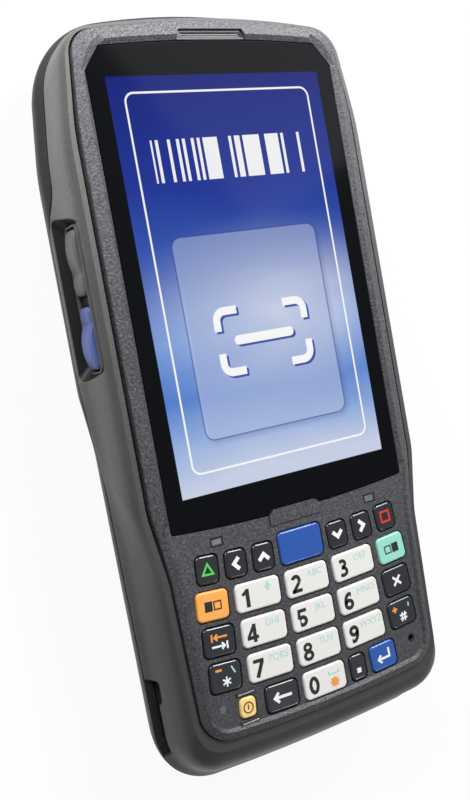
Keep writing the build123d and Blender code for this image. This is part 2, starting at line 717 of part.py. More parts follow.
def make_front_bezel():
    rise = BODY_HEIGHT - FACE_Z
    with BuildPart() as cuts:
        # the sunk keypad face, with sloping sides, and the glass's sloping mouth and seat
        extrude(keypad_outline(RIM_WIDTH, FACE_Z, GLASS_SIDE_BOTTOM + 2), amount=rise + 0.3, taper=-60)
        extrude(glass_sketch(FACE_Z, -FIT), amount=rise + 0.3, taper=-50)
        for side in (-1, 1):
            extrude(corner_facet(side), amount=rise + 0.1, taper=-64)
        lay_slab(glass_sketch(GASKET_Z, -FIT), GASKET_Z, BODY_HEIGHT)
        lay_slab(glass_sketch(BEZEL_FOOT_Z, GASKET_WIDTH), BEZEL_FOOT_Z - 1, BODY_HEIGHT)
    with BuildPart() as pockets:
        lay_slab(keypad_outline(POCKET_WALL, BEZEL_FOOT_Z, KEYPAD_TOP), BEZEL_FOOT_Z - 1, COVER_Z)
        with BuildSketch(Plane.XY.offset(COVER_Z - 1)):
            for key, place in key_places():
                with Locations(place):
                    RectangleRounded(key.width + 2 * KEY_GAP, key.height + 2 * KEY_GAP, KEY_CORNER + KEY_GAP)
        extrude(amount=BODY_HEIGHT)
        for x in (-LIGHT_X, LIGHT_X):
            add_block(x, LIGHT_Y, COVER_Z - 1, BODY_HEIGHT, *LIGHT_SIZE)
        add_post(SENSOR_X, SENSOR_Y, COVER_Z - 1, BODY_HEIGHT, SENSOR_RADIUS)
        add_post(MIC_X, SENSOR_Y, COVER_Z - 1, BODY_HEIGHT, MIC_RADIUS)
        # the earpiece's recess and slot
        with BuildSketch(Plane.XY.offset(EARPIECE_RECESS_Z)):
            with BuildLine():
                Polyline(
                    (-EARPIECE_RECESS_LOW, GLASS_TOP - 0.4),
                    (EARPIECE_RECESS_LOW, GLASS_TOP - 0.4),
                    (EARPIECE_RECESS_HIGH, EARPIECE_RECESS_Y),
                    (-EARPIECE_RECESS_HIGH, EARPIECE_RECESS_Y),
                    close=True,
                )
            make_face()
        extrude(amount=BODY_HEIGHT - EARPIECE_RECESS_Z + 1)
        add_block(0, EARPIECE_SLOT_Y, BEZEL_FOOT_Z - 1, BODY_HEIGHT, *EARPIECE_SLOT)
    with BuildPart() as bezel:
        lay_slab(outline_sketch(FACE, 0, BEZEL_FOOT_Z), BEZEL_FOOT_Z, BEZEL_EDGE_Z)
        loft([outline_sketch(FACE, 0, BEZEL_EDGE_Z), outline_sketch(FACE, BEZEL_SLOPE_WIDTH, BODY_HEIGHT)])
        fillet(bezel.edges().filter_by_position(Axis.Z, BEZEL_EDGE_Z - 0.01, BEZEL_EDGE_Z + 0.01), BEZEL_EDGE)
        add(cuts.part, mode=Mode.SUBTRACT)
        lay_slab(lip_sketch(GASKET_Z), GASKET_Z, FACE_Z + LIP_RISE)
        add(pockets.part, mode=Mode.SUBTRACT)
    save(bezel.part, "front_bezel")


# ---------------------------------------------------------------- display stack
def make_display():
    with BuildPart() as glass:
        lay_slab(glass_sketch(GLASS_Z), GLASS_Z, FACE_Z)
        lay_slab(lip_sketch(GLASS_Z - 1, FIT), GLASS_Z - 1, BODY_HEIGHT, Mode.SUBTRACT)
        fillet(glass.edges().group_by(Axis.Z)[-1], 0.2)
    save(glass.part, "display_glass")
    with BuildPart() as gasket:
        lay_slab(glass_sketch(GASKET_Z), GASKET_Z, GLASS_Z)
        lay_slab(glass_sketch(GASKET_Z, GASKET_WIDTH), GASKET_Z, GLASS_Z, Mode.SUBTRACT)
        lay_slab(lip_sketch(GASKET_Z, FIT), GASKET_Z, GLASS_Z, Mode.SUBTRACT)
    save(gasket.part, "display_gasket")
    panel_y = (PANEL_TOP + PANEL_BOTTOM) / 2
    panel_length = PANEL_TOP - PANEL_BOTTOM
    with BuildPart() as panel:
        add_block(0, panel_y, PANEL_Z, GLASS_Z, PANEL_WIDTH, panel_length)
        fillet(panel.edges().filter_by(Axis.Z), 1.0)
    save(panel.part, "lcd_module")
    width = PANEL_WIDTH - 1
    length = panel_length - 1
    hole = 2 * CUSHION_BORDER
    with BuildPart() as cushion:
        add_block(0, panel_y, LEDGE_Z, PANEL_Z, width, length)
        add_block(0, panel_y, LEDGE_Z, PANEL_Z, width - hole, length - hole, Mode.SUBTRACT)
    save(cushion.part, "display_cushion")


# ---------------------------------------------------------------- keypad stack
def make_keypad_stack():
    edge = LEDGE_WIDTH + FIT
    with BuildPart() as board:
        lay_slab(keypad_outline(edge, KEYPAD_BOARD_Z, KEYPAD_TOP), KEYPAD_BOARD_Z, MAT_Z)
    save(board.part, "keypad_board")
    with BuildPart() as domes:
        with BuildSketch(Plane.XY.offset(MAT_Z)):
            for _, place in key_places():
                with Locations(place):
                    Circle(DOME_RADIUS)
        extrude(amount=DOME_THICK, taper=25)
    save(domes.part, "key_domes")
    with BuildPart() as mat:
        lay_slab(keypad_outline(edge, MAT_Z, KEYPAD_TOP), MAT_Z, MAT_TOP)
        with BuildSketch(Plane.XY.offset(MAT_Z)):
            for _, place in key_places():
                with Locations(place):
                    Circle(DOME_RADIUS + SLIDE_FIT)
        extrude(amount=DOME_THICK + 0.1, mode=Mode.SUBTRACT)
    save(mat.part, "keypad_mat")


# ---------------------------------------------------------------- chassis and boards
def make_chassis():
    notch_length = BLOCK_LENGTH + 2 * SLIDE_FIT
    with BuildPart() as chassis:
        lay_slab(outline_sketch(FACE, CHASSIS_INSET, CHASSIS_Z), CHASSIS_Z, LEDGE_Z)
        add_block(0, EARPIECE_Y + 10, CHASSIS_Z, LEDGE_Z, 80, 20 + EARPIECE_SIZE[1] + 1, Mode.SUBTRACT)
        for side in (-1, 1):
            add_block(side * 39, SCOOP_Y, CHASSIS_Z, LEDGE_Z, 20, notch_length, Mode.SUBTRACT)
        for x, y in screw_places():
            add_post(x, y, CHASSIS_Z, LEDGE_Z, POST_RADIUS + FIT, Mode.SUBTRACT)
        for y in (40, 12):
            add_block(0, y, CHASSIS_Z, LEDGE_Z, 30, 18, Mode.SUBTRACT)
    save(chassis.part, "inner_chassis")


Chip = namedtuple("Chip", "x y width length height")
CHIPS = [
    Chip(-10, 38, 28, 32, 2.2),
    Chip(13, 34, 14, 20, 1.8),
    Chip(-12, -8, 26, 30, 2.2),
    Chip(14, -12, 16, 22, 2.4),
    Chip(-14, -48, 20, 22, 1.6),
    Chip(12, -50, 12, 8, 2.8),
    Chip(10, -34, 8, 8, 1.2),
    Chip(22, 8, 6, 12, 1.4),
]


def make_boards():
    board_y = (MAIN_BOARD_TOP_Y + MAIN_BOARD_BOTTOM_Y) / 2
    with BuildPart() as board:
        board_length = MAIN_BOARD_TOP_Y - MAIN_BOARD_BOTTOM_Y
        add_block(0, board_y, MAIN_BOARD_Z, MAIN_BOARD_TOP, MAIN_BOARD_WIDTH, board_length)
        fillet(board.edges().filter_by(Axis.Z), 3)
        for x, y in screw_places():
            add_post(x, y, MAIN_BOARD_Z, MAIN_BOARD_TOP, POST_RADIUS + FIT, Mode.SUBTRACT)
    save(board.part, "main_board")
    with BuildPart() as chips:
        for chip in CHIPS:
            add_block(chip.x, chip.y, MAIN_BOARD_TOP, MAIN_BOARD_TOP + chip.height, chip.width, chip.length)
    save(chips.part, "board_components")
    with BuildPart() as switches:
        for side in (-1, 1):
            for y in stem_places():
                add_block(side * (SWITCH_FACE_X - 0.8), y, MAIN_BOARD_TOP, STEM_Z + 1, 1.6, 5)
    save(switches.part, "side_switches")
    with BuildPart() as contacts:
        add_block(0, CONTACT_Y, BATTERY_THICK + FIT, MAIN_BOARD_Z, *CONTACT_SIZE)
    save(contacts.part, "battery_contacts")


# ---------------------------------------------------------------- battery
def make_battery():
    with BuildPart() as battery:
        with BuildSketch(Plane.YZ):
            with BuildLine():
                Polyline(
                    (BATTERY_PIVOT_Y, 0),
                    (BATTERY_TOP, 0),
                    (BATTERY_TOP, BATTERY_THICK),
                    (BATTERY_PIVOT_Y, BATTERY_THICK),
                )
                ThreePointArc(
                    (BATTERY_PIVOT_Y, BATTERY_THICK),
                    (BATTERY_PIVOT_Y - BATTERY_THICK / 2, BATTERY_THICK / 2),
                    (BATTERY_PIVOT_Y, 0),
                )
            make_face()
        extrude(amount=BATTERY_WIDTH / 2, both=True)
        fillet(battery.edges().filter_by(Axis.Z), 2.0)
        # finger grip at the latch end
        with Locations((0, BATTERY_TOP, 0)):
            Box(*GRIP_SIZE, mode=Mode.SUBTRACT)
    save(battery.part, "battery_pack")


# ---------------------------------------------------------------- scanning, camera and sound
def make_modules():
    with BuildPart() as engine:
        with Locations((0, ENGINE_Y, ENGINE_Z)):
            Box(*ENGINE_SIZE)
        fillet(engine.edges().filter_by(Axis.Z), 0.8)
        front = Plane(origin=(0, ENGINE_Y + ENGINE_SIZE[1] / 2, ENGINE_Z), x_dir=(-1, 0, 0), z_dir=(0, 1, 0))
        with BuildSketch(front):
            with Locations((-5, 0)):
                Circle(3.2)
            with Locations((5.5, 0)):
                Rectangle(5, 6)
        extrude(amount=-1.2, mode=Mode.SUBTRACT)
    save(engine.part, "scan_engine")
    with BuildPart() as window:
        low = WINDOW_Z - WINDOW_HEIGHT / 2
        add_block(0, WINDOW_Y + WINDOW_THICK / 2, low, low + WINDOW_HEIGHT, WINDOW_WIDTH, WINDOW_THICK)
        fillet(window.edges().filter_by(Axis.Y), 0.8)
    save(window.part, "scan_window")
    with BuildPart() as camera:
        add_post(CAMERA_X, CAMERA_Y, WINDOW_THICK, WALL, CAMERA_RADIUS - 1.4)
        add_block(CAMERA_X, CAMERA_Y, WALL, WALL + 4.6, 9, 9)
    save(camera.part, "rear_camera")
    with BuildPart() as camera_window:
        add_post(CAMERA_X, CAMERA_Y, 0.1, WINDOW_THICK, CAMERA_RADIUS)
    save(camera_window.part, "camera_window")
    with BuildPart() as flash:
        add_post(CAMERA_X, FLASH_Y, 0.1, WALL, FLASH_RADIUS)
        add_post(CAMERA_X, FLASH_Y, WALL, WALL + 0.8, FLASH_RADIUS + 0.9)
    save(flash.part, "flash_lens")
    with BuildPart() as earpiece:
        width, length, thick = EARPIECE_SIZE
        add_block(0, EARPIECE_Y, BEZEL_FOOT_Z - thick, BEZEL_FOOT_Z, width, length)
    save(earpiece.part, "earpiece_speaker")
    with BuildPart() as mesh:
        add_block(0, EARPIECE_SLOT_Y, EARPIECE_RECESS_Z - MESH_THICK, EARPIECE_RECESS_Z, *EARPIECE_SLOT)
    save(mesh.part, "earpiece_mesh")
    with BuildPart() as speaker:
        add_post(SPEAKER_X, SPEAKER_Y, WALL, WALL + SPEAKER_THICK, SPEAKER_RADIUS)
        add_post(SPEAKER_X, SPEAKER_Y, WALL, WALL + 1, SPEAKER_RADIUS - 1.5, Mode.SUBTRACT)
    save(speaker.part, "loudspeaker")
    with BuildPart() as motor:
        with Locations(Location((CAMERA_X, SPEAKER_Y, WALL + MOTOR_RADIUS), (0, 90, 0))):
            Cylinder(MOTOR_RADIUS, MOTOR_LENGTH)
    save(motor.part, "vibration_motor")
    with BuildPart() as microphone:
        add_block(MIC_X, SENSOR_Y, COVER_Z - MIC_SIZE[2], COVER_Z, MIC_SIZE[0], MIC_SIZE[1])
    save(microphone.part, "microphone")
    with BuildPart() as lenses:
        for x in (-LIGHT_X, LIGHT_X):
            add_block(x, LIGHT_Y, COVER_Z, FACE_Z - 0.1, *LIGHT_SIZE)
        add_post(SENSOR_X, SENSOR_Y, COVER_Z, FACE_Z - 0.1, SENSOR_RADIUS)
    save(lenses.part, "status_lenses")
    with BuildPart() as dock:
        low = SOCKET_Z - SOCKET_HEIGHT / 2
        add_block(0, SOCKET_FLOOR_Y + DOCK_THICK / 2, low, low + SOCKET_HEIGHT, SOCKET_WIDTH, DOCK_THICK)
    save(dock.part, "dock_connector")


# ---------------------------------------------------------------- side buttons and screws
def make_side_button(name, side, y, length, valley_y, crowns, stems):
    """A long side button whose face has two crowned lobes, with its push stems."""
    y_low = y - length / 2
    y_high = y + length / 2
    low_crown, high_crown = crowns
    end = side * BUTTON_END_X
    foot = side * BUTTON_FOOT_X
    with BuildPart() as button:
        with BuildSketch(Plane.XY.offset(BUTTON_Z - BUTTON_HEIGHT / 2)):
            with BuildLine():
                ThreePointArc((end, y_low), (side * low_crown, (y_low + valley_y) / 2), (end, valley_y))
                ThreePointArc((end, valley_y), (side * high_crown, (valley_y + y_high) / 2), (end, y_high))
                Polyline((end, y_high), (foot, y_high), (foot, y_low), (end, y_low))
            make_face()
        extrude(amount=BUTTON_HEIGHT)
        fillet(button.edges().filter_by(Axis.X), BUTTON_CORNER)
        fillet(button.edges().filter_by(lambda edge: abs(edge.center().X) > BUTTON_END_X - 0.6), BUTTON_EDGE)
        for stem_y in stems:
            with BuildSketch(side_plane(side, STEM_END_X, stem_y, STEM_Z)):
                Circle(STEM_RADIUS)
            extrude(amount=BUTTON_FOOT_X - STEM_END_X)
    save(button.part, name)


def make_side_buttons():
    low_stem, high_stem, trigger_stem = stem_places()
    rocker_stems = (low_stem, high_stem)
    left = (-1, "volume_rocker", "left_scan_button")
    right = (1, "camera_button", "right_scan_button")
    for side, upper, lower in (left, right):
        make_side_button(upper, side, ROCKER_Y, ROCKER_LENGTH, ROCKER_VALLEY_Y, ROCKER_CROWNS, rocker_stems)
        make_side_button(
            lower, side, TRIGGER_Y, TRIGGER_LENGTH, TRIGGER_VALLEY_Y, TRIGGER_CROWNS, (trigger_stem,)
        )


def make_screws():
    with BuildPart() as screws:
        for x, y in screw_places():
            shoulder = SCREW_HEAD_Z + SCREW_HEAD_THICK
            add_post(x, y, SCREW_HEAD_Z, shoulder, SCREW_HEAD_RADIUS)
            add_post(x, y, SCREW_HEAD_Z - 0.1, SCREW_HEAD_Z + 0.8, 0.8, Mode.SUBTRACT)
            add_post(x, y, shoulder, SCREW_TOP_Z, SCREW_RADIUS)
    save(screws.part, "housing_screws")


make_keys()
make_mid_frame()
make_rear_cover()
make_front_bezel()
make_display()
make_keypad_stack()
make_chassis()
make_boards()
make_battery()
make_modules()
make_side_buttons()
make_screws()
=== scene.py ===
# %% [markdown]
# # A handheld data terminal
# The imported model gives every moulded and machined piece at its real size. This lesson dresses it:
# textured plastics for the housing, a lit picture in the display glass, printed figures and signs on the
# keys, small trims, gold contacts in the dock socket, and a plain studio with one camera. The frame is
# loaded first.

# %% Load the frame
import json
import math

import bpy
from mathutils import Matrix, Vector


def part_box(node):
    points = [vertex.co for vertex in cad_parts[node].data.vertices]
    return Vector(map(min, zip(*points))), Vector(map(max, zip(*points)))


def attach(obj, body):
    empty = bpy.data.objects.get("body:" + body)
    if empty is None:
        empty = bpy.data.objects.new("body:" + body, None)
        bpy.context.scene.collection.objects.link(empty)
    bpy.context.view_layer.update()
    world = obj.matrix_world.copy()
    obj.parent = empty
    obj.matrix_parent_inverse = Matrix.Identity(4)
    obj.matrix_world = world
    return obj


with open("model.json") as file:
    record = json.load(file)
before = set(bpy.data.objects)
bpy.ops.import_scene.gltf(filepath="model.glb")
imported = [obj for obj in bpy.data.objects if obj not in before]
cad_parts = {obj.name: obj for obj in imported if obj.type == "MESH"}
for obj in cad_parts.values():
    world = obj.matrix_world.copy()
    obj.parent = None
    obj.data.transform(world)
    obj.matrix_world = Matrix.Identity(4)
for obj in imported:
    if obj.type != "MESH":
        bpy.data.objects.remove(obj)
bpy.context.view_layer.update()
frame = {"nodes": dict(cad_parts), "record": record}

MM = 0.001
nodes = frame["nodes"]

# %% [markdown]
# Colours are easiest to judge as the 0 to 255 values of a screen. Blender's shaders want linear light, so
# one small function turns the first into the second.


# %% Colours
def screen_colour(red, green, blue):
    """Linear RGBA from 0-255 screen values."""
    channels = []
    for value in (red, green, blue):
        share = value / 255
        channels.append(share / 12.92 if share <= 0.04045 else ((share + 0.055) / 1.055) ** 2.4)
    return (*channels, 1.0)


print("mid grey is", round(screen_colour(128, 128, 128)[0], 3), "in linear light")

# %% [markdown]
# A material is a small graph. Wiring it by hand takes many lines, so this helper class adds nodes and
# joins them in one call. Everything else in the file that paints a surface uses it.


# %% A helper for shader graphs
class Graph:
    """A new material with its main shader, and short ways to add nodes to it."""

    def __init__(self, name):
        self.material = bpy.data.materials.new(name)
        self.material.use_nodes = True
        self.tree = self.material.node_tree
        self.shader = self.tree.nodes["Principled BSDF"]
        self.place = self.add("ShaderNodeTexCoord").outputs["Object"]

    def add(self, kind, inputs=None, **settings):
        """A new node with its settings, and with its inputs linked or set."""
        node = self.tree.nodes.new(kind)
        for key, value in settings.items():
            setattr(node, key, value)
        for key, value in (inputs or {}).items():
            self.feed(node.inputs[key], value)
        return node

    def feed(self, socket, value):
        """Link an output to a socket, or set a plain value on it."""
        if isinstance(value, bpy.types.NodeSocket):
            self.tree.links.new(value, socket)
        else:
            socket.default_value = value

    def math(self, operation, first, second=0.0, third=0.0, clamp=False):
        inputs = {0: first, 1: second, 2: third}
        return self.add("ShaderNodeMath", inputs, operation=operation, use_clamp=clamp).outputs[0]

    def noise(self, scale, detail=2.0, roughness=0.5, place=None, distortion=0.0):
        inputs = {
            "Vector": place or self.place,
            "Scale": scale,
            "Detail": detail,
            "Roughness": roughness,
            "Distortion": distortion,
        }
        return self.add("ShaderNodeTexNoise", inputs).outputs["Fac"]

    def length(self, across, along):
        """The length of the slope over two legs."""
        squares = self.math("MULTIPLY_ADD", across, across, self.math("MULTIPLY", along, along))
        return self.math("SQRT", squares)

    def span(self, value, low=0.0, high=1.0, to_low=0.0, to_high=1.0):
        """A value carried from one range over to another."""
        inputs = {"Value": value, "From Min": low, "From Max": high, "To Min": to_low, "To Max": to_high}
        return self.add("ShaderNodeMapRange", inputs).outputs["Result"]

    def stretch(self, scale):
        """The object's coordinates, stretched along x, y and z."""
        return self.add("ShaderNodeMapping", {"Vector": self.place, "Scale": scale}).outputs["Vector"]

    def coordinates(self, place=None):
        """The x, y and z of a place."""
        return self.add("ShaderNodeSeparateXYZ", {0: place or self.place}).outputs

    def ramp(self, value, stops):
        """Colours picked by a value from a row of stops."""
        node = self.add("ShaderNodeValToRGB", {"Fac": value})
        elements = node.color_ramp.elements
        while len(elements) < len(stops):
            elements.new(0.5)
        for element, (position, colour) in zip(elements, stops):
            element.position = position
            element.color = colour
        return node.outputs["Color"]

    def mix(self, share, first, second):
        """The first colour where share is 0, the second where it is 1."""
        node = self.add("ShaderNodeMix", data_type="RGBA")
        self.feed(node.inputs["Factor"], share)
        self.feed(node.inputs[6], first)
        self.feed(node.inputs[7], second)
        return node.outputs[2]

    def bump(self, height, strength, distance):
        """A relief whose heights shade the surface."""
        inputs = {"Height": height, "Strength": strength, "Distance": distance}
        return self.add("ShaderNodeBump", inputs).outputs["Normal"]

    def set(self, **values):
        """Feed inputs of the main shader, by name."""
        for key, value in values.items():
            self.feed(self.shader.inputs[key.replace("_", " ")], value)


print("graph helper ready")

# %% [markdown]
# The housing is moulded plastic with a spark-eroded texture: tiny pits that scatter light and catch a
# highlight each. It could be modelled as relief, but millions of faces would be needed, so a bump does
# it. Two noises make the plastic, one for the pits and one, much wider, for the faint patches that
# handling leaves. The deepest pits are painted darker, as painted shade, and the grains that stand
# highest are painted lighter, as painted highlight. Towards the earpiece end the plastic is painted
# lighter, as painted light, and along its upper edge the band is painted darker, as painted shade. The
# pockets of the side buttons are painted black, as painted shade: two sloping lines follow the skin of
# the side, and what lies behind them within the length of a pocket is painted black.


# %% Moulded plastics
PATCH_SCALE = 28.0
DEEP_PITS = (0.32, 0.48)
HIGH_GRAINS = (0.52, 0.68)
# Painted light: the plastic is painted lighter towards the earpiece end, over this span of y.
PAINTED_LIGHT_Y = (-50 * MM, 75 * MM)
# Painted shade: the band's upper edge is painted darker between these heights.
SHADED_EDGE_Z = (23.2 * MM, 24.6 * MM)
# Painted shade: the black painted in the pockets of the side buttons.
POCKET_SHADE_BLACK = screen_colour(12, 12, 13)
SIDE_SKIN = ((-0.6, 48.5 * MM), (-0.16, 40.4 * MM))
POCKET_Y = (23.6 * MM, 18.5 * MM)
POCKET_Z = (19.3 * MM, 3.4 * MM)


def tone(colour, factor, lift=0.0):
    """The same colour, darker or lighter."""
    return tuple(min(1.0, channel * factor + lift) for channel in colour[:3]) + (1.0,)


def grained_plastic(
    name,
    colour,
    roughness,
    grain=0.5,
    depth=0.15,
    patch=0.12,
    contrast=0.35,
    gloss=0.5,
    painted_light=0.0,
    edge=1.0,
    pocket_shade=None,
):
    """Textured plastic. grain is the size of a pit in mm, depth the strength of its relief in mm.

    painted_light paints light on it, lighter towards the earpiece end, and edge sets the painted shade
    on its upper edge. pocket_shade is a function that marks where black painted shade goes.
    """
    graph = Graph(name)
    pits = graph.noise(1 / (grain * MM), 3.0, 0.6)
    patches = graph.noise(PATCH_SCALE, 3.0, 0.6)

    def patchy(first, second, lift=0.0):
        """A tone that wanders between two factors from patch to patch."""
        return graph.ramp(patches, [(0.3, tone(colour, first, lift)), (0.7, tone(colour, second, lift))])

    worn = patchy(1 - patch, 1 + patch)
    # Painted shade and highlight: the deepest pits take the darker tone, the highest grains the lighter
    # one.
    dark = patchy(1 - contrast, 1 - 0.8 * contrast)
    light = patchy(1 + contrast, 1 + 1.3 * contrast, 0.01)
    body = graph.mix(graph.span(pits, *DEEP_PITS), dark, worn)
    body = graph.mix(graph.span(pits, *HIGH_GRAINS), body, light)
    # Painted light: the plastic is painted lighter towards the earpiece end.
    if painted_light:
        parts = graph.coordinates()
        lift = graph.math("MULTIPLY_ADD", graph.span(parts["Y"], *PAINTED_LIGHT_Y), painted_light, 1.0)
        # Painted shade: the upper edge is painted darker.
        edge_shade = graph.math("MULTIPLY_ADD", graph.span(parts["Z"], *SHADED_EDGE_Z), edge - 1.0, 1.0)
        lift = graph.math("MULTIPLY", lift, edge_shade)
        body = graph.add("ShaderNodeHueSaturation", {"Color": body, "Value": lift}).outputs["Color"]
    # Painted shade: black in the pockets of the side buttons.
    if pocket_shade:
        body = graph.mix(pocket_shade(graph), body, POCKET_SHADE_BLACK)
    shine = graph.span(pits, to_low=roughness - 0.12, to_high=roughness + 0.12)
    graph.set(Base_Color=body, Roughness=shine, Specular_IOR_Level=gloss)
    graph.set(Normal=graph.bump(pits, 1.0, depth * MM))
    return graph.material


def side_pockets(graph):
    """Painted shade: 1 in the pockets of the side buttons, below the skin of the side, and 0 elsewhere."""
    parts = graph.coordinates()
    outward = graph.math("ABSOLUTE", parts["X"])
    skins = [graph.math("MULTIPLY_ADD", parts["Z"], slope, reach) for slope, reach in SIDE_SKIN]
    below_skin = graph.math("LESS_THAN", outward, graph.math("MAXIMUM", *skins))
    along = graph.math("COMPARE", parts["Y"], *POCKET_Y)
    level = graph.math("COMPARE", parts["Z"], *POCKET_Z)
    return graph.math("MULTIPLY", below_skin, graph.math("MULTIPLY", along, level))


def smooth_plastic(name, colour, roughness=0.28, patch=0.05, gloss=0.5, coat=0.0):
    """Satin plastic: even colour, with fine moulding ripple and a little dust in its shine."""
    graph = Graph(name)
    ripple = graph.noise(900.0, 2.0)
    dust = graph.noise(160.0, 4.0, 0.7)
    graph.set(Base_Color=graph.mix(dust, tone(colour, 1 - patch), colour))
    shine = graph.span(dust, to_low=roughness - 0.05, to_high=roughness + 0.08)
    graph.set(Roughness=shine, Specular_IOR_Level=gloss, Coat_Weight=coat, Coat_Roughness=0.12)
    graph.set(Normal=graph.bump(ripple, 0.12, 0.02 * MM))
    return graph.material


# Painted light: bezel and band are painted lighter towards the earpiece end; the band also gets painted
# shade on its upper edge and in its button pockets.
bezel_plastic = grained_plastic(
    "bezel_plastic", screen_colour(61, 61, 64), 0.33, 0.5, 0.17, contrast=0.55, painted_light=1.5
)
band_plastic = grained_plastic(
    "band_plastic",
    screen_colour(70, 69, 68),
    0.46,
    0.3,
    0.05,
    contrast=0.14,
    painted_light=2.2,
    edge=0.6,
    pocket_shade=side_pockets,
)
cover_plastic = grained_plastic("cover_plastic", screen_colour(38, 38, 41), 0.5, 0.45, 0.08, contrast=0.2)
battery_plastic = grained_plastic("battery_plastic", screen_colour(44, 44, 46), 0.5, 0.45, contrast=0.2)
print("housing plastics made")

# %% [markdown]
# Keys are moulded in colour and polished: the shine along their upper edges is what makes them read as
# keys. White keys are a little warmer than paper.

# %% Key and button plastics
white_key = smooth_plastic("white_key", screen_colour(226, 223, 218), 0.36, patch=0.03)
dark_key = smooth_plastic("dark_key", screen_colour(36, 37, 41), 0.2, gloss=0.7, coat=0.5)
blue_key = smooth_plastic("blue_key", screen_colour(40, 84, 164), 0.22, coat=0.4)
orange_key = smooth_plastic("orange_key", screen_colour(246, 170, 84), 0.3)
mint_key = smooth_plastic("mint_key", screen_colour(148, 214, 194), 0.3)
cream_key = smooth_plastic("cream_key", screen_colour(243, 208, 132), 0.3)
grey_button = smooth_plastic("grey_button", screen_colour(104, 104, 102), 0.42)
blue_button = smooth_plastic("blue_button", screen_colour(92, 106, 166), 0.4)
print("key plastics made")


# %% [markdown]
# Inside and in the sockets there are metals, rubber and circuit board. They are seldom seen, but when the
# battery swings out they are, so each gets its own grain.


# %% Metals, rubber and board
def metal(name, colour, roughness, stretch=(1, 1, 1), scale=700.0):
    """Metal with a drawn or cast grain; stretch sets the direction of the grain."""
    graph = Graph(name)
    grain = graph.noise(scale, 3.0, 0.6, place=graph.stretch(stretch))
    graph.set(Base_Color=graph.mix(grain, tone(colour, 0.7), colour), Metallic=1.0)
    shine = graph.span(grain, to_low=roughness - 0.08, to_high=roughness + 0.12)
    graph.set(Roughness=shine, Normal=graph.bump(grain, 0.2, 0.02 * MM))
    return graph.material


def circuit_board(name):
    """Green solder resist with paler traces running both ways under it."""
    graph = Graph(name)
    inputs = {
        "Vector": graph.place,
        "Scale": 260.0,
        "Mortar Size": 0.03,
        "Color1": screen_colour(18, 74, 40),
        "Color2": screen_colour(24, 88, 48),
        "Mortar": screen_colour(90, 140, 80),
    }
    cells = graph.add("ShaderNodeTexBrick", inputs)
    graph.set(Base_Color=cells.outputs["Color"], Roughness=0.35)
    graph.set(Normal=graph.bump(cells.outputs["Fac"], 0.2, 0.05 * MM))
    return graph.material


bright_steel = metal("bright_steel", screen_colour(200, 200, 202), 0.3, stretch=(1, 6, 1))
dark_steel = metal("dark_steel", screen_colour(70, 70, 72), 0.4)
cast_magnesium = metal("cast_magnesium", screen_colour(150, 150, 152), 0.5, scale=900.0)
gold = metal("gold", screen_colour(226, 180, 96), 0.25, stretch=(1, 1, 5))
black_rubber = grained_plastic("black_rubber", screen_colour(28, 28, 28), 0.7, grain=0.3, gloss=0.3)
grey_silicone = grained_plastic("grey_silicone", screen_colour(70, 70, 74), 0.55, depth=0.04, gloss=0.4)
black_nylon = grained_plastic("black_nylon", screen_colour(30, 30, 31), 0.5, depth=0.06)
board_green = circuit_board("board_green")
print("inner finishes made")

# %% [markdown]
# The scan window is dark red glass, the camera window black glass, the lens of the flash a cloudy white,
# and the small lenses in the keypad face are clear over a dull well. All are glossy, with a breath of
# dust. The earpiece is covered by a steel cloth, which is drawn by two crossed waves.


# %% Windows and lenses
def tinted_glass(name, colour, roughness=0.06):
    """Glossy dark glass under a breath of dust."""
    graph = Graph(name)
    dust = graph.noise(300.0, 5.0, 0.7)
    shine = graph.span(dust, to_low=roughness, to_high=roughness + 0.08)
    graph.set(Base_Color=graph.mix(graph.math("MULTIPLY", dust, 0.4), colour, tone(colour, 1.6, 0.002)))
    graph.set(Roughness=shine, Coat_Weight=0.6, Coat_Roughness=0.04)
    return graph.material


def woven_mesh(name, pitch=0.45):
    """A fine steel cloth: two crossed waves give the wires, dark in between."""
    graph = Graph(name)
    half_wave = math.pi / (pitch * MM)
    parts = graph.coordinates()
    waves = []
    for way in ("X", "Y"):
        wave = graph.math("SINE", graph.math("MULTIPLY", parts[way], half_wave))
        waves.append(graph.math("ABSOLUTE", wave))
    wires = graph.math("MAXIMUM", *waves)
    colour = graph.ramp(wires, [(0.6, screen_colour(10, 10, 10)), (0.92, screen_colour(96, 96, 98))])
    graph.set(Base_Color=colour, Metallic=0.6, Roughness=0.4, Normal=graph.bump(wires, 0.8, 0.1 * MM))
    return graph.material


scan_glass = tinted_glass("scan_glass", screen_colour(58, 5, 12), 0.03)
camera_glass = tinted_glass("camera_glass", screen_colour(10, 10, 14))
clear_lens = tinted_glass("clear_lens", screen_colour(84, 84, 86), 0.15)
flash_glass = tinted_glass("flash_glass", screen_colour(206, 204, 182), 0.2)
mesh_steel = woven_mesh("mesh_steel")
print("windows made")

# %% [markdown]
# ## The lit display
# The picture belongs to the glass: a black border, then the lit area. It could be put together from thin
# plates, but its soft clouds and shadows are easier to draw in the shader, from the coordinates of the
# piece, in millimetres from the middle of the lit area. Shapes are signed distances: a rounded box is the
# distance to its edge, turned into a soft mask. The picture is a plain ready screen inside a rounded
# line: a wide barcode above, and below it a large pale card that bears the usual sign for scanning.

# %% Measures of the display
LIT_CENTRE_Y = 22.9
LIT_HALF_WIDTH = 25.92
LIT_HALF_HEIGHT = 43.2
PIXEL = 0.12


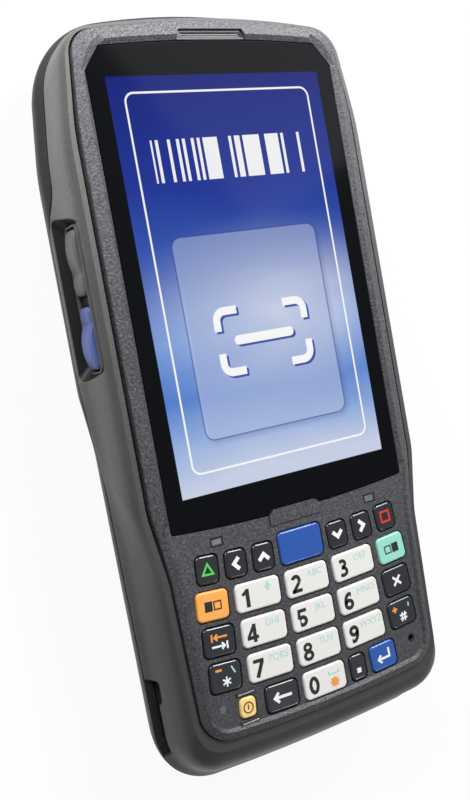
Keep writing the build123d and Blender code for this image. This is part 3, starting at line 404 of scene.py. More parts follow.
# %% Masks for flat pictures
class Picture(Graph):
    """A material whose colour is built from flat layers, in mm around a centre."""

    def __init__(self, name, centre_y):
        super().__init__(name)
        parts = self.coordinates(self.stretch((1 / MM, 1 / MM, 1 / MM)))
        self.x = parts["X"]
        self.y = self.math("SUBTRACT", parts["Y"], centre_y)

    def beyond(self, value, centre, half):
        """How far a coordinate lies beyond half its width from a centre, never below nought."""
        away = self.math("ABSOLUTE", self.math("SUBTRACT", value, centre))
        return self.math("MAXIMUM", self.math("SUBTRACT", away, half), 0.0)

    def edge_distance(self, x, y, width, height, corner):
        """Distance to the edge of a rounded box, below nought inside it."""
        across = self.beyond(self.x, x, width / 2 - corner)
        along = self.beyond(self.y, y, height / 2 - corner)
        return self.math("SUBTRACT", self.length(across, along), corner)

    def inside(self, distance):
        """A soft mask of what lies within a distance of nought."""
        return self.math("MULTIPLY_ADD", distance, -1 / PIXEL, 0.5, clamp=True)

    def box(self, x, y, width, height, corner=0.05):
        return self.inside(self.edge_distance(x, y, width, height, corner))

    def frame_line(self, x, y, width, height, corner, line):
        """The outline of a rounded box."""
        distance = self.math("ABSOLUTE", self.edge_distance(x, y, width, height, corner))
        return self.inside(self.math("SUBTRACT", distance, line / 2))

    def both(self, first, second):
        return self.math("MULTIPLY", first, second)

    def either(self, first, second):
        return self.math("MAXIMUM", first, second)


print("picture helper ready")


# %% [markdown]
# The backdrop of the picture goes from navy at the top to pale at the foot. The height in the picture
# picks the colour from a ramp, and a stretched noise bends that height a little. A soft bright cloud lies
# behind the card. The card is see-through, and it and its sign throw a small shadow.


# %% The display's picture
WHITE = (1.0, 1.0, 1.0, 1.0)
BLACK = (0.0, 0.0, 0.0, 1.0)
CLOUD_X = 5.0
CLOUD_Y = -9.0
CLOUD_REACH = 24.0
BARCODE_CELL = 0.7
BARCODE_GAPS = 0.42
BARCODE_BOX = (0.4, 25.6, 38.0, 8.8)
ROUNDED_LINE = (0.0, 0.5, 44.8, 78.6, 2.0, 0.42)
CARD = (36.0, 42.4, 2.2)
CARD_Y = -11.4
CARD_SHADOW = 0.6
SIGN_X = 0.3
SIGN_Y = -13.0
SIGN_SIZE = (22.0, 13.0)
SIGN_ARMS = (5.2, 4.2)
SIGN_SHADOW = 0.5


def sky(picture):
    """The backdrop: a bent ramp, and a soft bright cloud behind the card."""
    cloud = picture.noise(17.0, 3.0, 0.45, place=picture.stretch((1.0, 2.2, 1.0)), distortion=0.6)
    height = picture.math("MULTIPLY_ADD", picture.y, 1 / (2 * LIT_HALF_HEIGHT), 0.5)
    drift = picture.math("MULTIPLY_ADD", cloud, 0.16, -0.08)
    level = picture.math("ADD", height, drift)
    base = picture.ramp(
        level,
        [
            (0.02, screen_colour(206, 214, 236)),
            (0.13, screen_colour(150, 178, 226)),
            (0.22, screen_colour(78, 128, 208)),
            (0.36, screen_colour(96, 142, 216)),
            (0.52, screen_colour(58, 96, 184)),
            (0.74, screen_colour(34, 56, 152)),
            (1.0, screen_colour(22, 34, 122)),
        ],
    )
    across = picture.math("MULTIPLY", picture.beyond(picture.x, CLOUD_X, 0.0), 0.5)
    along = picture.beyond(picture.y, CLOUD_Y, 0.0)
    near = picture.math("MULTIPLY_ADD", picture.length(across, along), -1 / CLOUD_REACH, 1.0, clamp=True)
    glow = picture.math("POWER", near, 2.0)
    veil = picture.math("MULTIPLY", picture.math("MULTIPLY", glow, cloud), 2.2, clamp=True)
    return picture.mix(veil, base, screen_colour(238, 242, 252))


def headline(picture):
    """A wide barcode of random bars."""
    cell = picture.math("FLOOR", picture.math("MULTIPLY", picture.x, 1 / BARCODE_CELL))
    chance = picture.add("ShaderNodeTexWhiteNoise", {"W": cell}, noise_dimensions="1D").outputs["Value"]
    bars = picture.math("GREATER_THAN", chance, BARCODE_GAPS)
    return picture.both(bars, picture.box(*BARCODE_BOX))


def large_card(picture, colour):
    """A pale see-through card with a soft shadow and a darker edge."""
    below_card = picture.edge_distance(CARD_SHADOW, CARD_Y - CARD_SHADOW, *CARD)
    shadow = picture.math("MULTIPLY_ADD", below_card, -0.6, 0.6, clamp=True)
    colour = picture.mix(picture.math("MULTIPLY", shadow, 0.3), colour, screen_colour(30, 52, 130))
    veil = picture.math("MULTIPLY_ADD", picture.y, -0.003, 0.33)
    veil = picture.math("MULTIPLY", veil, picture.box(0.0, CARD_Y, *CARD))
    colour = picture.mix(veil, colour, screen_colour(206, 222, 255))
    edge = picture.frame_line(0.0, CARD_Y, *CARD, 0.3)
    return picture.mix(picture.math("MULTIPLY", edge, 0.6), colour, screen_colour(40, 64, 140))


def scan_sign(picture, x, y):
    """Four corner marks round a level beam."""
    width, height = SIGN_SIZE
    arm_x, arm_y = SIGN_ARMS
    line = picture.frame_line(x, y, width, height, 2.0, 1.7)
    past_x = picture.beyond(picture.x, x, width / 2 - arm_x)
    past_y = picture.beyond(picture.y, y, height / 2 - arm_y)
    gap_x = picture.inside(picture.math("SUBTRACT", past_x, PIXEL / 2))
    gap_y = picture.inside(picture.math("SUBTRACT", past_y, PIXEL / 2))
    corners = picture.both(line, picture.math("SUBTRACT", 1.0, picture.either(gap_x, gap_y), clamp=True))
    return picture.either(corners, picture.box(x, y, 15.0, 2.0, 1.0))


def lit_display():
    """The glass of the display: a black border round the lit picture."""
    picture = Picture("display_glass", LIT_CENTRE_Y)
    colour = large_card(picture, sky(picture))
    shapes = picture.either(headline(picture), picture.frame_line(*ROUNDED_LINE))
    sign_shadow = scan_sign(picture, SIGN_X + SIGN_SHADOW, SIGN_Y - SIGN_SHADOW)
    colour = picture.mix(sign_shadow, colour, screen_colour(64, 88, 166))
    colour = picture.mix(picture.either(shapes, scan_sign(picture, SIGN_X, SIGN_Y)), colour, WHITE)
    lit = picture.box(0, 0, 2 * LIT_HALF_WIDTH, 2 * LIT_HALF_HEIGHT)
    smear = picture.noise(45.0, 4.0, 0.6)
    glass = picture.mix(lit, screen_colour(15, 16, 18), screen_colour(8, 10, 20))
    picture.set(Base_Color=glass, Roughness=picture.span(smear, to_low=0.05, to_high=0.12))
    picture.set(Emission_Color=picture.mix(lit, BLACK, colour), Emission_Strength=1.0)
    picture.set(Specular_IOR_Level=0.03)
    return picture.material


display_glass = lit_display()
print("display picture has", len(display_glass.node_tree.nodes), "shader nodes")

# %% [markdown]
# Now every node gets its finish. A node's mesh stays as it is, and only its material changes. The packed
# record says which slot each node uses, and the table gives each slot its finish. The window of the
# camera and the lens of the flash get finishes of their own.

# %% Dress the nodes
FINISH_OF_SLOT = {
    "bezel_plastic": bezel_plastic,
    "band_plastic": band_plastic,
    "cover_plastic": cover_plastic,
    "battery_plastic": battery_plastic,
    "display_glass": display_glass,
    "panel": black_nylon,
    "black_rubber": black_rubber,
    "grey_silicone": grey_silicone,
    "board_green": board_green,
    "bright_steel": bright_steel,
    "dark_steel": dark_steel,
    "cast_magnesium": cast_magnesium,
    "black_nylon": black_nylon,
    "tinted_window": scan_glass,
    "clear_lens": clear_lens,
    "mesh_steel": mesh_steel,
    "white_key": white_key,
    "dark_key": dark_key,
    "blue_key": blue_key,
    "orange_key": orange_key,
    "mint_key": mint_key,
    "cream_key": cream_key,
    "grey_button": grey_button,
    "blue_button": blue_button,
}
FINISH_OF_NODE = {"camera_window": camera_glass, "flash_lens": flash_glass}
slot_of = {part["node"]: part["material_slot"] for part in frame["record"]["subparts"]}
for name, node in nodes.items():
    finish = FINISH_OF_NODE.get(name, FINISH_OF_SLOT[slot_of[name]])
    node.data.materials.clear()
    node.data.materials.append(finish)
print("dressed", len(nodes), "nodes")

# %% [markdown]
# ## Printing on the keys
# Figures and signs are printed on the key tops. A shader could paint them, but thin plates stay sharp
# from every side and go into the finished mesh, so each is a plate a few hundredths of a millimetre
# thick. A sign is put together flat, around the origin, from text and simple cut shapes, then raised,
# turned with its key row and set on its key. Inks are dull and slightly uneven.

# %% Inks
INK_THICK = 0.03


def ink(name, colour):
    """Dull printing ink."""
    return smooth_plastic(name, colour, roughness=0.5, patch=0.08, gloss=0.35)


black_ink = ink("black_ink", screen_colour(38, 38, 40))
white_ink = ink("white_ink", screen_colour(238, 238, 238))
orange_ink = ink("orange_ink", screen_colour(238, 152, 66))
green_ink = ink("green_ink", screen_colour(84, 204, 84))
red_ink = ink("red_ink", screen_colour(212, 52, 46))
mint_ink = ink("mint_ink", screen_colour(170, 216, 202))
brown_ink = ink("brown_ink", screen_colour(120, 70, 24))
print("seven inks")


# %% [markdown]
# These are the stencils: a bar, a ring, a disc, and a character. A ring is a filled circle, stretched to
# an oval where wanted, whose face is inset and the inner face deleted: with 4 corners it is a frame, with
# 3 a triangle. A ring can be cut by straight lines, which leaves an arc.


# %% Stencils
def clear_selection():
    """Deselect everything, so that an operator acts on one piece only."""
    bpy.ops.object.select_all(action="DESELECT")


def pick(piece):
    """Select one object and make it the active one."""
    clear_selection()
    piece.select_set(True)
    bpy.context.view_layer.objects.active = piece


def apply_place(piece):
    """Put a piece's place, turn and size into its mesh."""
    pick(piece)
    bpy.ops.object.transform_apply(location=True, rotation=True, scale=True)
    return piece


def edit_all():
    """Enter edit mode with the whole piece selected."""
    bpy.ops.object.mode_set(mode="EDIT")
    bpy.ops.mesh.select_all(action="SELECT")


def end_edit():
    """Leave edit mode."""
    bpy.ops.object.mode_set(mode="OBJECT")


def bar(x, y, width, height, turn=0.0):
    """A flat bar, in mm, turned by degrees."""
    clear_selection()
    place = (x * MM, y * MM, 0)
    bpy.ops.mesh.primitive_plane_add(size=MM, location=place, rotation=(0, 0, math.radians(turn)))
    piece = bpy.context.object
    piece.scale = (width, height, 1)
    return apply_place(piece)


def disc(x, y, half_width, half_height=None, corners=32, turn=0.0):
    """A flat disc, oval or polygon."""
    clear_selection()
    place = (x * MM, y * MM, 0)
    turned = (0, 0, math.radians(turn))
    bpy.ops.mesh.primitive_circle_add(
        vertices=corners, radius=MM, fill_type="NGON", location=place, rotation=turned
    )
    piece = bpy.context.object
    piece.scale = (half_width, half_height or half_width, 1)
    return apply_place(piece)


def open_middle(line):
    """In edit mode: leave only a border of the selected face."""
    bpy.ops.mesh.inset(thickness=line * MM)
    bpy.ops.mesh.delete(type="FACE")


def ring(x, y, half_width, half_height, line, cuts=(), corners=32, turn=0.0):
    """An oval line. Each cut (angle, offset) keeps what lies beyond offset in the direction of angle."""
    piece = disc(x, y, half_width, half_height, corners, turn)
    edit_all()
    open_middle(line)
    for angle, offset in cuts:
        way = Vector((math.cos(math.radians(angle)), math.sin(math.radians(angle)), 0))
        point = Vector((x * MM, y * MM, 0)) + way * offset * MM
        bpy.ops.mesh.select_all(action="SELECT")
        bpy.ops.mesh.bisect(plane_co=point, plane_no=way, clear_inner=True)
    end_edit()
    return piece


def character(text, x, y, size):
    """Text as a flat mesh."""
    clear_selection()
    bpy.ops.object.text_add(location=(x * MM, y * MM, 0))
    piece = bpy.context.object
    piece.data.body = text
    piece.data.size = size * MM
    piece.data.align_x = "CENTER"
    piece.data.align_y = "CENTER"
    piece.data.resolution_u = 4
    bpy.ops.object.convert(target="MESH")
    return apply_place(bpy.context.object)


print("stencils: bar, disc, ring, character")

# %% [markdown]
# A stencil is raised to the thickness of the ink, and the stencils of a sign are united into one clean
# piece. The sign is then moved onto its key. Rows of keys follow a shallow arc, so a sign turns with its
# key: by the slope of that arc at the key's place.

# %% Printing
ROW_ARC = 0.0016


def raise_sheet(piece, thick=INK_THICK):
    """Give a flat sheet its thickness and close it."""
    pick(piece)
    edit_all()
    bpy.ops.mesh.remove_doubles(threshold=0.002 * MM)
    bpy.ops.mesh.extrude_region_move(TRANSFORM_OT_translate={"value": (0, 0, thick * MM)})
    bpy.ops.mesh.select_all(action="SELECT")
    bpy.ops.mesh.normals_make_consistent(inside=False)
    end_edit()
    return piece


def unite(pieces):
    """One closed piece from several that overlap."""
    whole = pieces[0]
    for other in pieces[1:]:
        modifier = whole.modifiers.new("unite", "BOOLEAN")
        modifier.operation = "UNION"
        modifier.solver = "EXACT"
        modifier.object = other
        pick(whole)
        bpy.ops.object.modifier_apply(modifier=modifier.name)
        bpy.data.objects.remove(other, do_unlink=True)
    return whole


def finish_piece(piece, name, finish, body):
    """Name a piece, give it its one finish and hand it to the body it rides on."""
    piece.name = name
    piece.data.materials.clear()
    piece.data.materials.append(finish)
    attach(piece, body)


def print_sign(key, suffix, stencils, finish):
    """Print stencils, drawn in mm round the key's middle, onto a key."""
    low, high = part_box(key)
    middle = (low + high) / 2
    sign = unite([raise_sheet(stencil) for stencil in stencils])
    sign.rotation_euler = (0, 0, math.atan(2 * ROW_ARC * middle.x / MM))
    sign.location = (middle.x, middle.y, high.z)
    finish_piece(apply_place(sign), f"sign_{key}_{suffix}", finish, key)


print("printing ready")

# %% [markdown]
# The figures are drawn from ovals and bars, heavy and plain, as moulded keypads carry them. 6 is an oval
# with a longer one rising from its side, and 9 is a 6 turned upside down.

# %% Shapes of the figures
STROKE = 0.82


def six(way):
    """A 6, or a 9 when way is -1."""
    turn = 0 if way > 0 else 180
    bowl = ring(0, way * -0.72, 1.28, 1.25, STROKE)
    stem = ring(way * 0.34, way * -0.5, 1.62, 2.46, STROKE, cuts=[(turn + 180, -0.55), (turn + 90, 0.0)])
    return [bowl, stem]


def figure_shapes(figure):
    """The stencils of one figure, about 2.6 mm wide and 3.9 mm tall."""
    if figure == 0:
        return [ring(0, 0, 1.32, 1.98, STROKE)]
    if figure == 1:
        return [bar(0.3, 0, 0.92, 3.9), bar(-0.3, 1.22, 1.5, 0.66, 38)]
    if figure == 2:
        hook = ring(0, 0.72, 1.28, 1.26, STROKE, cuts=[(62, -0.1)])
        return [hook, bar(-0.12, -0.75, 2.5, 0.78, 47), bar(0, -1.58, 2.6, 0.76)]
    if figure == 3:
        upper = ring(-0.05, 0.93, 1.15, 1.06, 0.74, cuts=[(30, -0.35)])
        lower = ring(-0.05, -0.8, 1.3, 1.2, 0.76, cuts=[(-30, -0.42)])
        return [upper, lower, bar(0.05, 0.06, 0.9, 0.6)]
    if figure == 4:
        return [bar(0.45, 0, 0.86, 3.9), bar(-0.02, -0.9, 2.8, 0.74), bar(-0.35, 0.48, 3.05, 0.68, 57)]
    if figure == 5:
        bowl = ring(0, -0.7, 1.28, 1.26, STROKE, cuts=[(0, -0.7)])
        return [bar(0.15, 1.58, 2.2, 0.76), bar(-0.72, 0.85, 0.72, 2.0, -6), bowl]
    if figure == 6:
        return six(1)
    if figure == 7:
        return [bar(0, 1.58, 2.6, 0.76), bar(0.2, -0.2, 3.7, 0.9, 66)]
    if figure == 8:
        return [ring(0, 0.96, 1.15, 1.04, 0.7), ring(0, -0.83, 1.34, 1.18, 0.76)]
    return six(-1)


def shift_stencils(stencils, x, y):
    """Move stencils together, in mm."""
    for stencil in stencils:
        stencil.location = (x * MM, y * MM, 0)
        apply_place(stencil)
    return stencils


print("figures 0 to 9 can be drawn")

# %% [markdown]
# Each white key carries a heavy figure at its left and, small and pale at its upper right, the letters
# that every telephone keypad has beside that figure. Key 1 has a small arrow there and 0 a low bracket,
# the usual sign of the space bar.

# %% Figures on the white keys
FIGURE_X = -3.0
FIGURE_Y = -0.15
LETTERS_PLACE = (2.05, 1.2)
LETTERS_SIZE = 2.1
LETTERS = {2: "ABC", 3: "DEF", 4: "GHI", 5: "JKL", 6: "MNO", 7: "PQRS", 8: "TUV", 9: "WXYZ"}
for figure in range(10):
    key = f"digit_{figure}_key"
    print_sign(key, "figure", shift_stencils(figure_shapes(figure), FIGURE_X, FIGURE_Y), black_ink)
    if figure in LETTERS:
        print_sign(key, "letters", [character(LETTERS[figure], *LETTERS_PLACE, LETTERS_SIZE)], mint_ink)
print_sign("digit_1_key", "shift", [bar(2.4, 0.9, 0.6, 1.1), disc(2.4, 1.6, 0.95, corners=3)], mint_ink)
space = [bar(2.4, 0.9, 3.0, 0.35), bar(1.08, 1.25, 0.35, 0.8), bar(3.72, 1.25, 0.35, 0.8)]
print_sign("digit_0_key", "space", space, mint_ink)
rays = [bar(2.4, -1.0, 2.5, 0.3, turn) for turn in (0, 45, 90, 135)]
print_sign("digit_0_key", "lamp", [disc(2.4, -1.0, 0.95)] + rays, orange_ink)
print("figures printed")


# %% [markdown]
# The dark keys carry arrows and signs in white, orange, green and red. A chevron is two bars that meet at
# a right angle, and an arrow adds a shaft.


# %% Signs on the dark and coloured keys
def chevron(turn, reach=1.5, line=0.8, x=0.0, y=0.0):
    """Two bars meeting at a point, x and y; turn 0 points right, 90 up."""
    arms = []
    away = (reach - line / 2) / 2
    for side in (-1, 1):
        angle = math.radians(turn + 180 + side * 45)
        arm_x = x + away * math.cos(angle)
        arm_y = y + away * math.sin(angle)
        arms.append(bar(arm_x, arm_y, reach + line / 2, line, turn + side * 45))
    return arms


def left_arrow(x, y, length, line, head):
    """An arrow to the left, centred on x and y."""
    tip = x - length / 2
    return [bar(x + line / 3, y, length - line / 1.5, line)] + chevron(180, head, line, tip + line / 2, y)


ARROWS = {"left_key": 180, "up_key": 90, "down_key": 270, "right_key": 0}
ARROW_LEAD = 0.55
for key, turn in ARROWS.items():
    tip_x = ARROW_LEAD * math.cos(math.radians(turn))
    tip_y = ARROW_LEAD * math.sin(math.radians(turn))
    print_sign(key, "chevron", chevron(turn, 1.75, 0.85, tip_x, tip_y), white_ink)
print_sign("triangle_key", "triangle", [ring(0.0, -0.25, 1.85, 1.85, 0.42, corners=3)], green_ink)
print_sign("square_key", "square", [ring(0.0, 0.0, 1.95, 1.95, 0.45, corners=4, turn=45)], red_ink)
HALF = 1.05
for key, filled in (("orange_shift_key", -1), ("mint_shift_key", 1)):
    print_sign(key, "full_half", [bar(filled * HALF, 0, 1.8, 2.1)], black_ink)
    print_sign(key, "open_half", [ring(-filled * HALF, 0, 1.35, 1.35, 0.28, corners=4, turn=45)], black_ink)
tab_back = [bar(-1.75, 0.95, 0.4, 1.6)] + left_arrow(0.25, 0.95, 3.2, 0.42, 0.95)
print_sign("tab_key", "back", tab_back, orange_ink)
tab_on = [bar(1.75, -0.95, 0.4, 1.6), bar(-0.4, -0.95, 3.0, 0.42)] + chevron(0, 0.95, 0.42, 1.15, -0.95)
print_sign("tab_key", "on", tab_on, white_ink)
print_sign("minus_key", "minus", [bar(-1.6, 1.65, 1.5, 0.5)], orange_ink)
print_sign("minus_key", "star", [bar(0.1, -0.95, 2.1, 0.36, turn) for turn in (90, 30, 150)], white_ink)
print_sign("minus_key", "slash", [bar(1.85, 1.25, 1.7, 0.34, 118)], mint_ink)
print_sign("plus_key", "plus", [bar(-1.95, 1.2, 1.4, 0.45), bar(-1.95, 1.2, 0.45, 1.4)], orange_ink)
level_bars = [bar(0.1, y, 2.0, 0.36) for y in (-0.55, -1.35)]
upright_bars = [bar(x, -0.95, 2.1, 0.36, 80) for x in (-0.3, 0.5)]
print_sign("plus_key", "hatch", level_bars + upright_bars, white_ink)
print_sign("plus_key", "tick", [bar(2.1, 1.3, 0.9, 0.36, 85)], mint_ink)
print_sign("escape_key", "cross", [bar(0, 0, 2.9, 0.55, turn) for turn in (45, 135)], white_ink)
print_sign("erase_key", "arrow", left_arrow(0, 0, 4.6, 0.62, 1.5), white_ink)
print_sign("point_key", "point", [bar(0, -0.75, 1.1, 1.1)], white_ink)
enter_arrow = left_arrow(-0.1, -0.5, 3.6, 0.5, 1.25) + [bar(1.55, 0.35, 0.5, 2.2)]
print_sign("enter_key", "arrow", enter_arrow, white_ink)
print_sign("power_key", "ring", [ring(0, 0, 1.25, 1.25, 0.3)], brown_ink)
print_sign("power_key", "bar", [bar(0, 0.1, 0.32, 1.0)], brown_ink)
print("signs printed")

# %% [markdown]
# ## Small fittings
# Two low guards stand above and below the power key, so that it isn't pressed by mistake. Each is a black
# bar with bevelled edges and a steel line let into its top. The dock socket holds a row of gold contacts,
# which are pads let into the connector. One function makes all of these blocks: a cube is set to its
# size, and its edges are bevelled.


# %% Guards and contacts
def bevelled_block(name, middle, size, bevel, finish):
    """A block on the housing with rounded edges; bevel in mm."""
    clear_selection()
    bpy.ops.mesh.primitive_cube_add(size=1, location=middle)
    piece = bpy.context.object
    piece.scale = size
    apply_place(piece)
    edit_all()
    bpy.ops.mesh.bevel(offset=bevel * MM, segments=3, affect="EDGES")
    end_edit()
    finish_piece(piece, name, finish, "housing")


power_low, power_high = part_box("power_key")
power_middle = (power_low + power_high) / 2
face_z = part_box("display_glass")[1].z
GUARD = Vector((4.7, 0.9, 0.22)) * MM
GUARD_LINE = Vector((4.0, 0.3, 0.14)) * MM
GUARD_LINE_SUNK = 0.02 * MM
GUARD_AWAY = 3.1 * MM
for side, label in ((-1, "lower"), (1, "upper")):
    middle = Vector((power_middle.x, power_middle.y + side * GUARD_AWAY, face_z + GUARD.z / 2))
    bevelled_block(f"power_guard_{label}", middle, GUARD, 0.08, black_nylon)
    middle.z = face_z + GUARD.z + GUARD_LINE.z / 2 - GUARD_LINE_SUNK
    bevelled_block(f"power_guard_line_{label}", middle, GUARD_LINE, 0.04, bright_steel)

dock_low, dock_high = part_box("dock_connector")
PAD_COUNT = 9
PAD = Vector((1.5, 0.25, 3.4)) * MM
for index in range(PAD_COUNT):
    share = (index + 0.5) / PAD_COUNT
    x = dock_low.x + share * (dock_high.x - dock_low.x)
    middle = Vector((x, dock_low.y, (dock_low.z + dock_high.z) / 2))
    bevelled_block(f"dock_contact_{index + 1}", middle, PAD, 0.1, gold)
print("guards and", PAD_COUNT, "contacts made")

# %% [markdown]
# The earpiece lies in a shallow recess at the upper edge of the glass. A pale trim frames its slot: a bar
# is cut to the sloping ends of the recess, opened by an inset, raised and bevelled. A dark gap is left
# all round it.


# %% Trim of the earpiece
def outline_bar(x, y, width, height, line):
    """The outline of a bar."""
    piece = bar(x, y, width, height)
    edit_all()
    open_middle(line)
    end_edit()
    return piece


def fit_part(piece, name, z, finish):
    """Set a flat or raised piece on its level, z in mm, and hand it to the housing."""
    piece.location = (0, 0, z * MM)
    finish_piece(apply_place(piece), name, finish, "housing")


def bevel_all(piece, width):
    """Round all edges of a piece; width in mm."""
    pick(piece)
    edit_all()
    bpy.ops.mesh.bevel(offset=width * MM, segments=2, affect="EDGES")
    end_edit()


trim_plastic = grained_plastic("trim_plastic", screen_colour(74, 74, 78), 0.4, 0.3, 0.03, contrast=0.15)
trim_print = ink("trim_print", screen_colour(20, 20, 22))
sensor_plastic = grained_plastic("sensor_plastic", screen_colour(92, 95, 100), 0.3, 0.4, 0.05, contrast=0.4)
pale_print = ink("pale_print", screen_colour(118, 121, 126))
# The collar is raised geometry; its lighter tone is a painted highlight along the pocket's rim.
collar_highlight_plastic = grained_plastic("collar_highlight_plastic", screen_colour(96, 95, 93), 0.4, 0.3, 0.03, contrast=0.12)
SLOT_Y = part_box("earpiece_mesh")[0].y / MM + 0.5
RECESS_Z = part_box("earpiece_mesh")[1].z / MM
TRIM_SIZE = (18.0, 1.92)
TRIM_END = (8.57, 72.8)
TRIM_END_WAY = (0.921, 0.39)
trim = bar(0, SLOT_Y + 0.02, *TRIM_SIZE)
edit_all()
for side in (-1, 1):
    way = Vector((side * TRIM_END_WAY[0], TRIM_END_WAY[1], 0))
    point = Vector((side * TRIM_END[0], TRIM_END[1], 0)) * MM
    bpy.ops.mesh.select_all(action="SELECT")
    bpy.ops.mesh.bisect(plane_co=point, plane_no=way, clear_outer=True)
bpy.ops.mesh.select_all(action="SELECT")
open_middle(0.44)
end_edit()
raise_sheet(trim, 0.3)
bevel_all(trim, 0.07)
fit_part(trim, "earpiece_trim", RECESS_Z, trim_plastic)
print("earpiece trim fitted at height", round(RECESS_Z, 2))

# %% [markdown]
# The two status windows get printed outlines, with a pale plate behind the left one and stripes behind
# the right. The light sensor at the lower left is a small grainy disc, and round the microphone's hole a
# dark ring is painted, as painted shade of the hole. All of them are flat stencils that are raised by
# the thickness of a print.

# %% Status windows, light sensor and microphone
FACE_LEVEL = face_z / MM
BEHIND_FACE = FACE_LEVEL - 0.1
lens_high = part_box("status_lenses")[1] / MM
LIGHT_X = lens_high.x - 1.25
LIGHT_Y = lens_high.y - 0.75
LIGHT_SIZE = (3.1, 2.0)
PLATE_SIZE = (2.0, 1.0)
STRIPE_SIZE = (2.1, 0.26)
STRIPE_STEP = 0.46
SENSOR_PLACE = (-25.4, -64.5)
SENSOR_RADIUS = 0.85
for side, label in ((-1, "left"), (1, "right")):
    line = outline_bar(side * LIGHT_X, LIGHT_Y, *LIGHT_SIZE, 0.28)
    fit_part(raise_sheet(line), f"status_outline_{label}", FACE_LEVEL, trim_print)
plate = bar(-LIGHT_X, LIGHT_Y, *PLATE_SIZE)
fit_part(raise_sheet(plate), "status_plate", BEHIND_FACE, pale_print)
stripes = [raise_sheet(bar(LIGHT_X, LIGHT_Y + row * STRIPE_STEP, *STRIPE_SIZE)) for row in (-1, 0, 1)]
fit_part(unite(stripes), "status_stripes", BEHIND_FACE, pale_print)
fit_part(raise_sheet(disc(*SENSOR_PLACE, SENSOR_RADIUS)), "sensor_window", BEHIND_FACE, sensor_plastic)


def middle_of(node):
    """The middle of a node, in mm."""
    low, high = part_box(node)
    return (low + high) / 2 / MM


hole = middle_of("microphone")
# Painted shade: a dark ring round the microphone's hole.
hole_shade_ring = raise_sheet(ring(hole.x, hole.y, 0.95, 0.95, 0.35))
fit_part(hole_shade_ring, "microphone_shade_ring", FACE_LEVEL, trim_print)
print("status windows at", round(LIGHT_X, 2), round(LIGHT_Y, 2))

# %% [markdown]
# On the back, two rings are printed on the camera's window, as on most such windows: one near its edge
# and one round the lens. They face down, so they lie just below the glass.

# %% Rings on the camera window
camera_place = middle_of("camera_window")
camera_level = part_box("camera_window")[0].z / MM - 0.02
for label, radius, line in (("outer", 4.1, 0.3), ("inner", 2.3, 0.35)):
    circle = raise_sheet(ring(camera_place.x, camera_place.y, radius, radius, line))
    fit_part(circle, f"camera_ring_{label}", camera_level, pale_print)
print("camera rings printed")

# %% [markdown]
# A collar with rounded corners stands round each pair of side buttons. Its plastic is lighter than the
# band, as a painted highlight along the rim of the pocket. It is drawn flat, as a bar with bevelled
# corners that is opened by an inset, then raised, rounded and turned to face the side.

# %% Collars of the side buttons
COLLAR_SIZE = (30.2, 6.5)
COLLAR_CORNER = 1.7
COLLAR_DEPTH = 0.7
COLLAR_PLACE = (36.0, 23.25, 20.0)
for side, label in ((-1, "left"), (1, "right")):
    collar = bar(0, 0, *COLLAR_SIZE)
    edit_all()
    bpy.ops.mesh.bevel(offset=COLLAR_CORNER * MM, segments=6, affect="VERTICES")
    open_middle(0.4)
    end_edit()
    raise_sheet(collar, COLLAR_DEPTH)
    bevel_all(collar, 0.1)
    collar.rotation_euler = (math.radians(90), 0, side * math.radians(90))
    collar.location = Vector((side * COLLAR_PLACE[0], COLLAR_PLACE[1], COLLAR_PLACE[2])) * MM
    apply_place(collar)
    fit_part(collar, f"button_collar_{label}", 0.0, collar_highlight_plastic)
print("two collars fitted")

# %% [markdown]
# ## The studio
# The studio has a pale floor, a soft lamp from the upper left, a stronger one from the far end that draws
# a light along the upper rim and the far edges of the keys, two weaker ones from the right for the rims
# on that side, and a dim even sky. The floor shows itself to the camera a little brighter than it is lit,
# so that it reads as a white ground and still keeps the shadow.

# %% Floor
FLOOR_SIZE = 6.0
FLOOR_DROP = 0.2 * MM
FLOOR_GLOW = 0.93
clear_selection()
bpy.ops.mesh.primitive_plane_add(size=FLOOR_SIZE, location=(0, 0, -FLOOR_DROP))
floor = bpy.context.object
floor.name = "studio_floor"
floor_graph = Graph("studio_floor")
speck = floor_graph.noise(9.0, 3.0)
paper = floor_graph.ramp(speck, [(0.3, (0.84, 0.84, 0.84, 1)), (0.7, (0.86, 0.86, 0.86, 1))])
floor_graph.set(Base_Color=paper, Roughness=0.9, Specular_IOR_Level=0.1)
glow = floor_graph.add("ShaderNodeEmission", {"Color": WHITE, "Strength": 1.0})
path = floor_graph.add("ShaderNodeLightPath")
seen = floor_graph.math("MAXIMUM", path.outputs["Is Camera Ray"], path.outputs["Is Glossy Ray"])
seen = floor_graph.math("MAXIMUM", seen, path.outputs["Is Transmission Ray"])
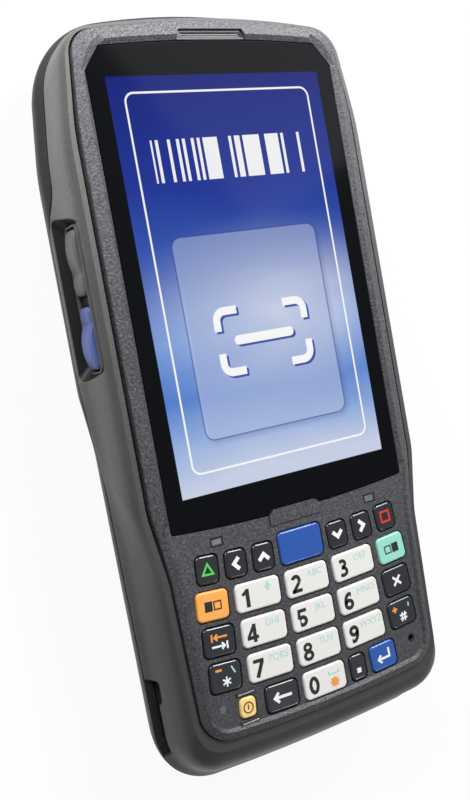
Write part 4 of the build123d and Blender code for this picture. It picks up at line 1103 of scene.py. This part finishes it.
blend = floor_graph.add("ShaderNodeMixShader", {"Fac": floor_graph.math("MULTIPLY", seen, FLOOR_GLOW)})
floor_graph.feed(blend.inputs[1], floor_graph.shader.outputs["BSDF"])
floor_graph.feed(blend.inputs[2], glow.outputs["Emission"])
floor_graph.feed(floor_graph.tree.nodes["Material Output"].inputs["Surface"], blend.outputs["Shader"])
floor.data.materials.append(floor_graph.material)
print("floor laid")


# %% Lamps and sky
AIM = Vector((0, 0, 15)) * MM


def soft_lamp(name, place, size, watts):
    """A square softbox that looks at the middle of the object."""
    clear_selection()
    bpy.ops.object.light_add(type="AREA", location=place)
    lamp = bpy.context.object
    lamp.name = name
    lamp.data.size = size
    lamp.data.energy = watts
    lamp.rotation_euler = (AIM - Vector(place)).to_track_quat("-Z", "Y").to_euler()


soft_lamp("lamp_upper_left", (-0.16, 0.22, 0.20), 0.14, 0.65)
soft_lamp("lamp_far_end", (0.20, 0.30, 0.32), 0.16, 1.8)
soft_lamp("lamp_low_right", (0.30, -0.38, 0.45), 0.08, 0.3)
soft_lamp("lamp_high_right", (0.33, 0.235, 0.46), 0.22, 0.95)
world = bpy.data.worlds.new("studio_sky")
bpy.context.scene.world = world
world.use_nodes = True
sky_inputs = world.node_tree.nodes["Background"].inputs
sky_inputs["Color"].default_value = (0.9, 0.95, 1.0, 1)
sky_inputs["Strength"].default_value = 0.27
print("lamps lit")

# %% [markdown]
# The camera stands to the left and above, about a quarter of a metre away, and leans a little, which
# makes the device seem to stand up in the finished render.

# %% Camera
CAMERA_PLACE = (-0.1135, 0.0087, 0.2106)
CAMERA_TURN = tuple(math.radians(angle) for angle in (2.779, -29.417, -11.752))
clear_selection()
bpy.ops.object.camera_add(location=CAMERA_PLACE, rotation=CAMERA_TURN)
camera = bpy.context.object
camera.name = "camera"
camera.data.sensor_width = 36.0
camera.data.lens = 45.23
camera.data.clip_start = 0.01
bpy.context.scene.camera = camera
bpy.context.scene.view_settings.view_transform = "Standard"
print("camera set")
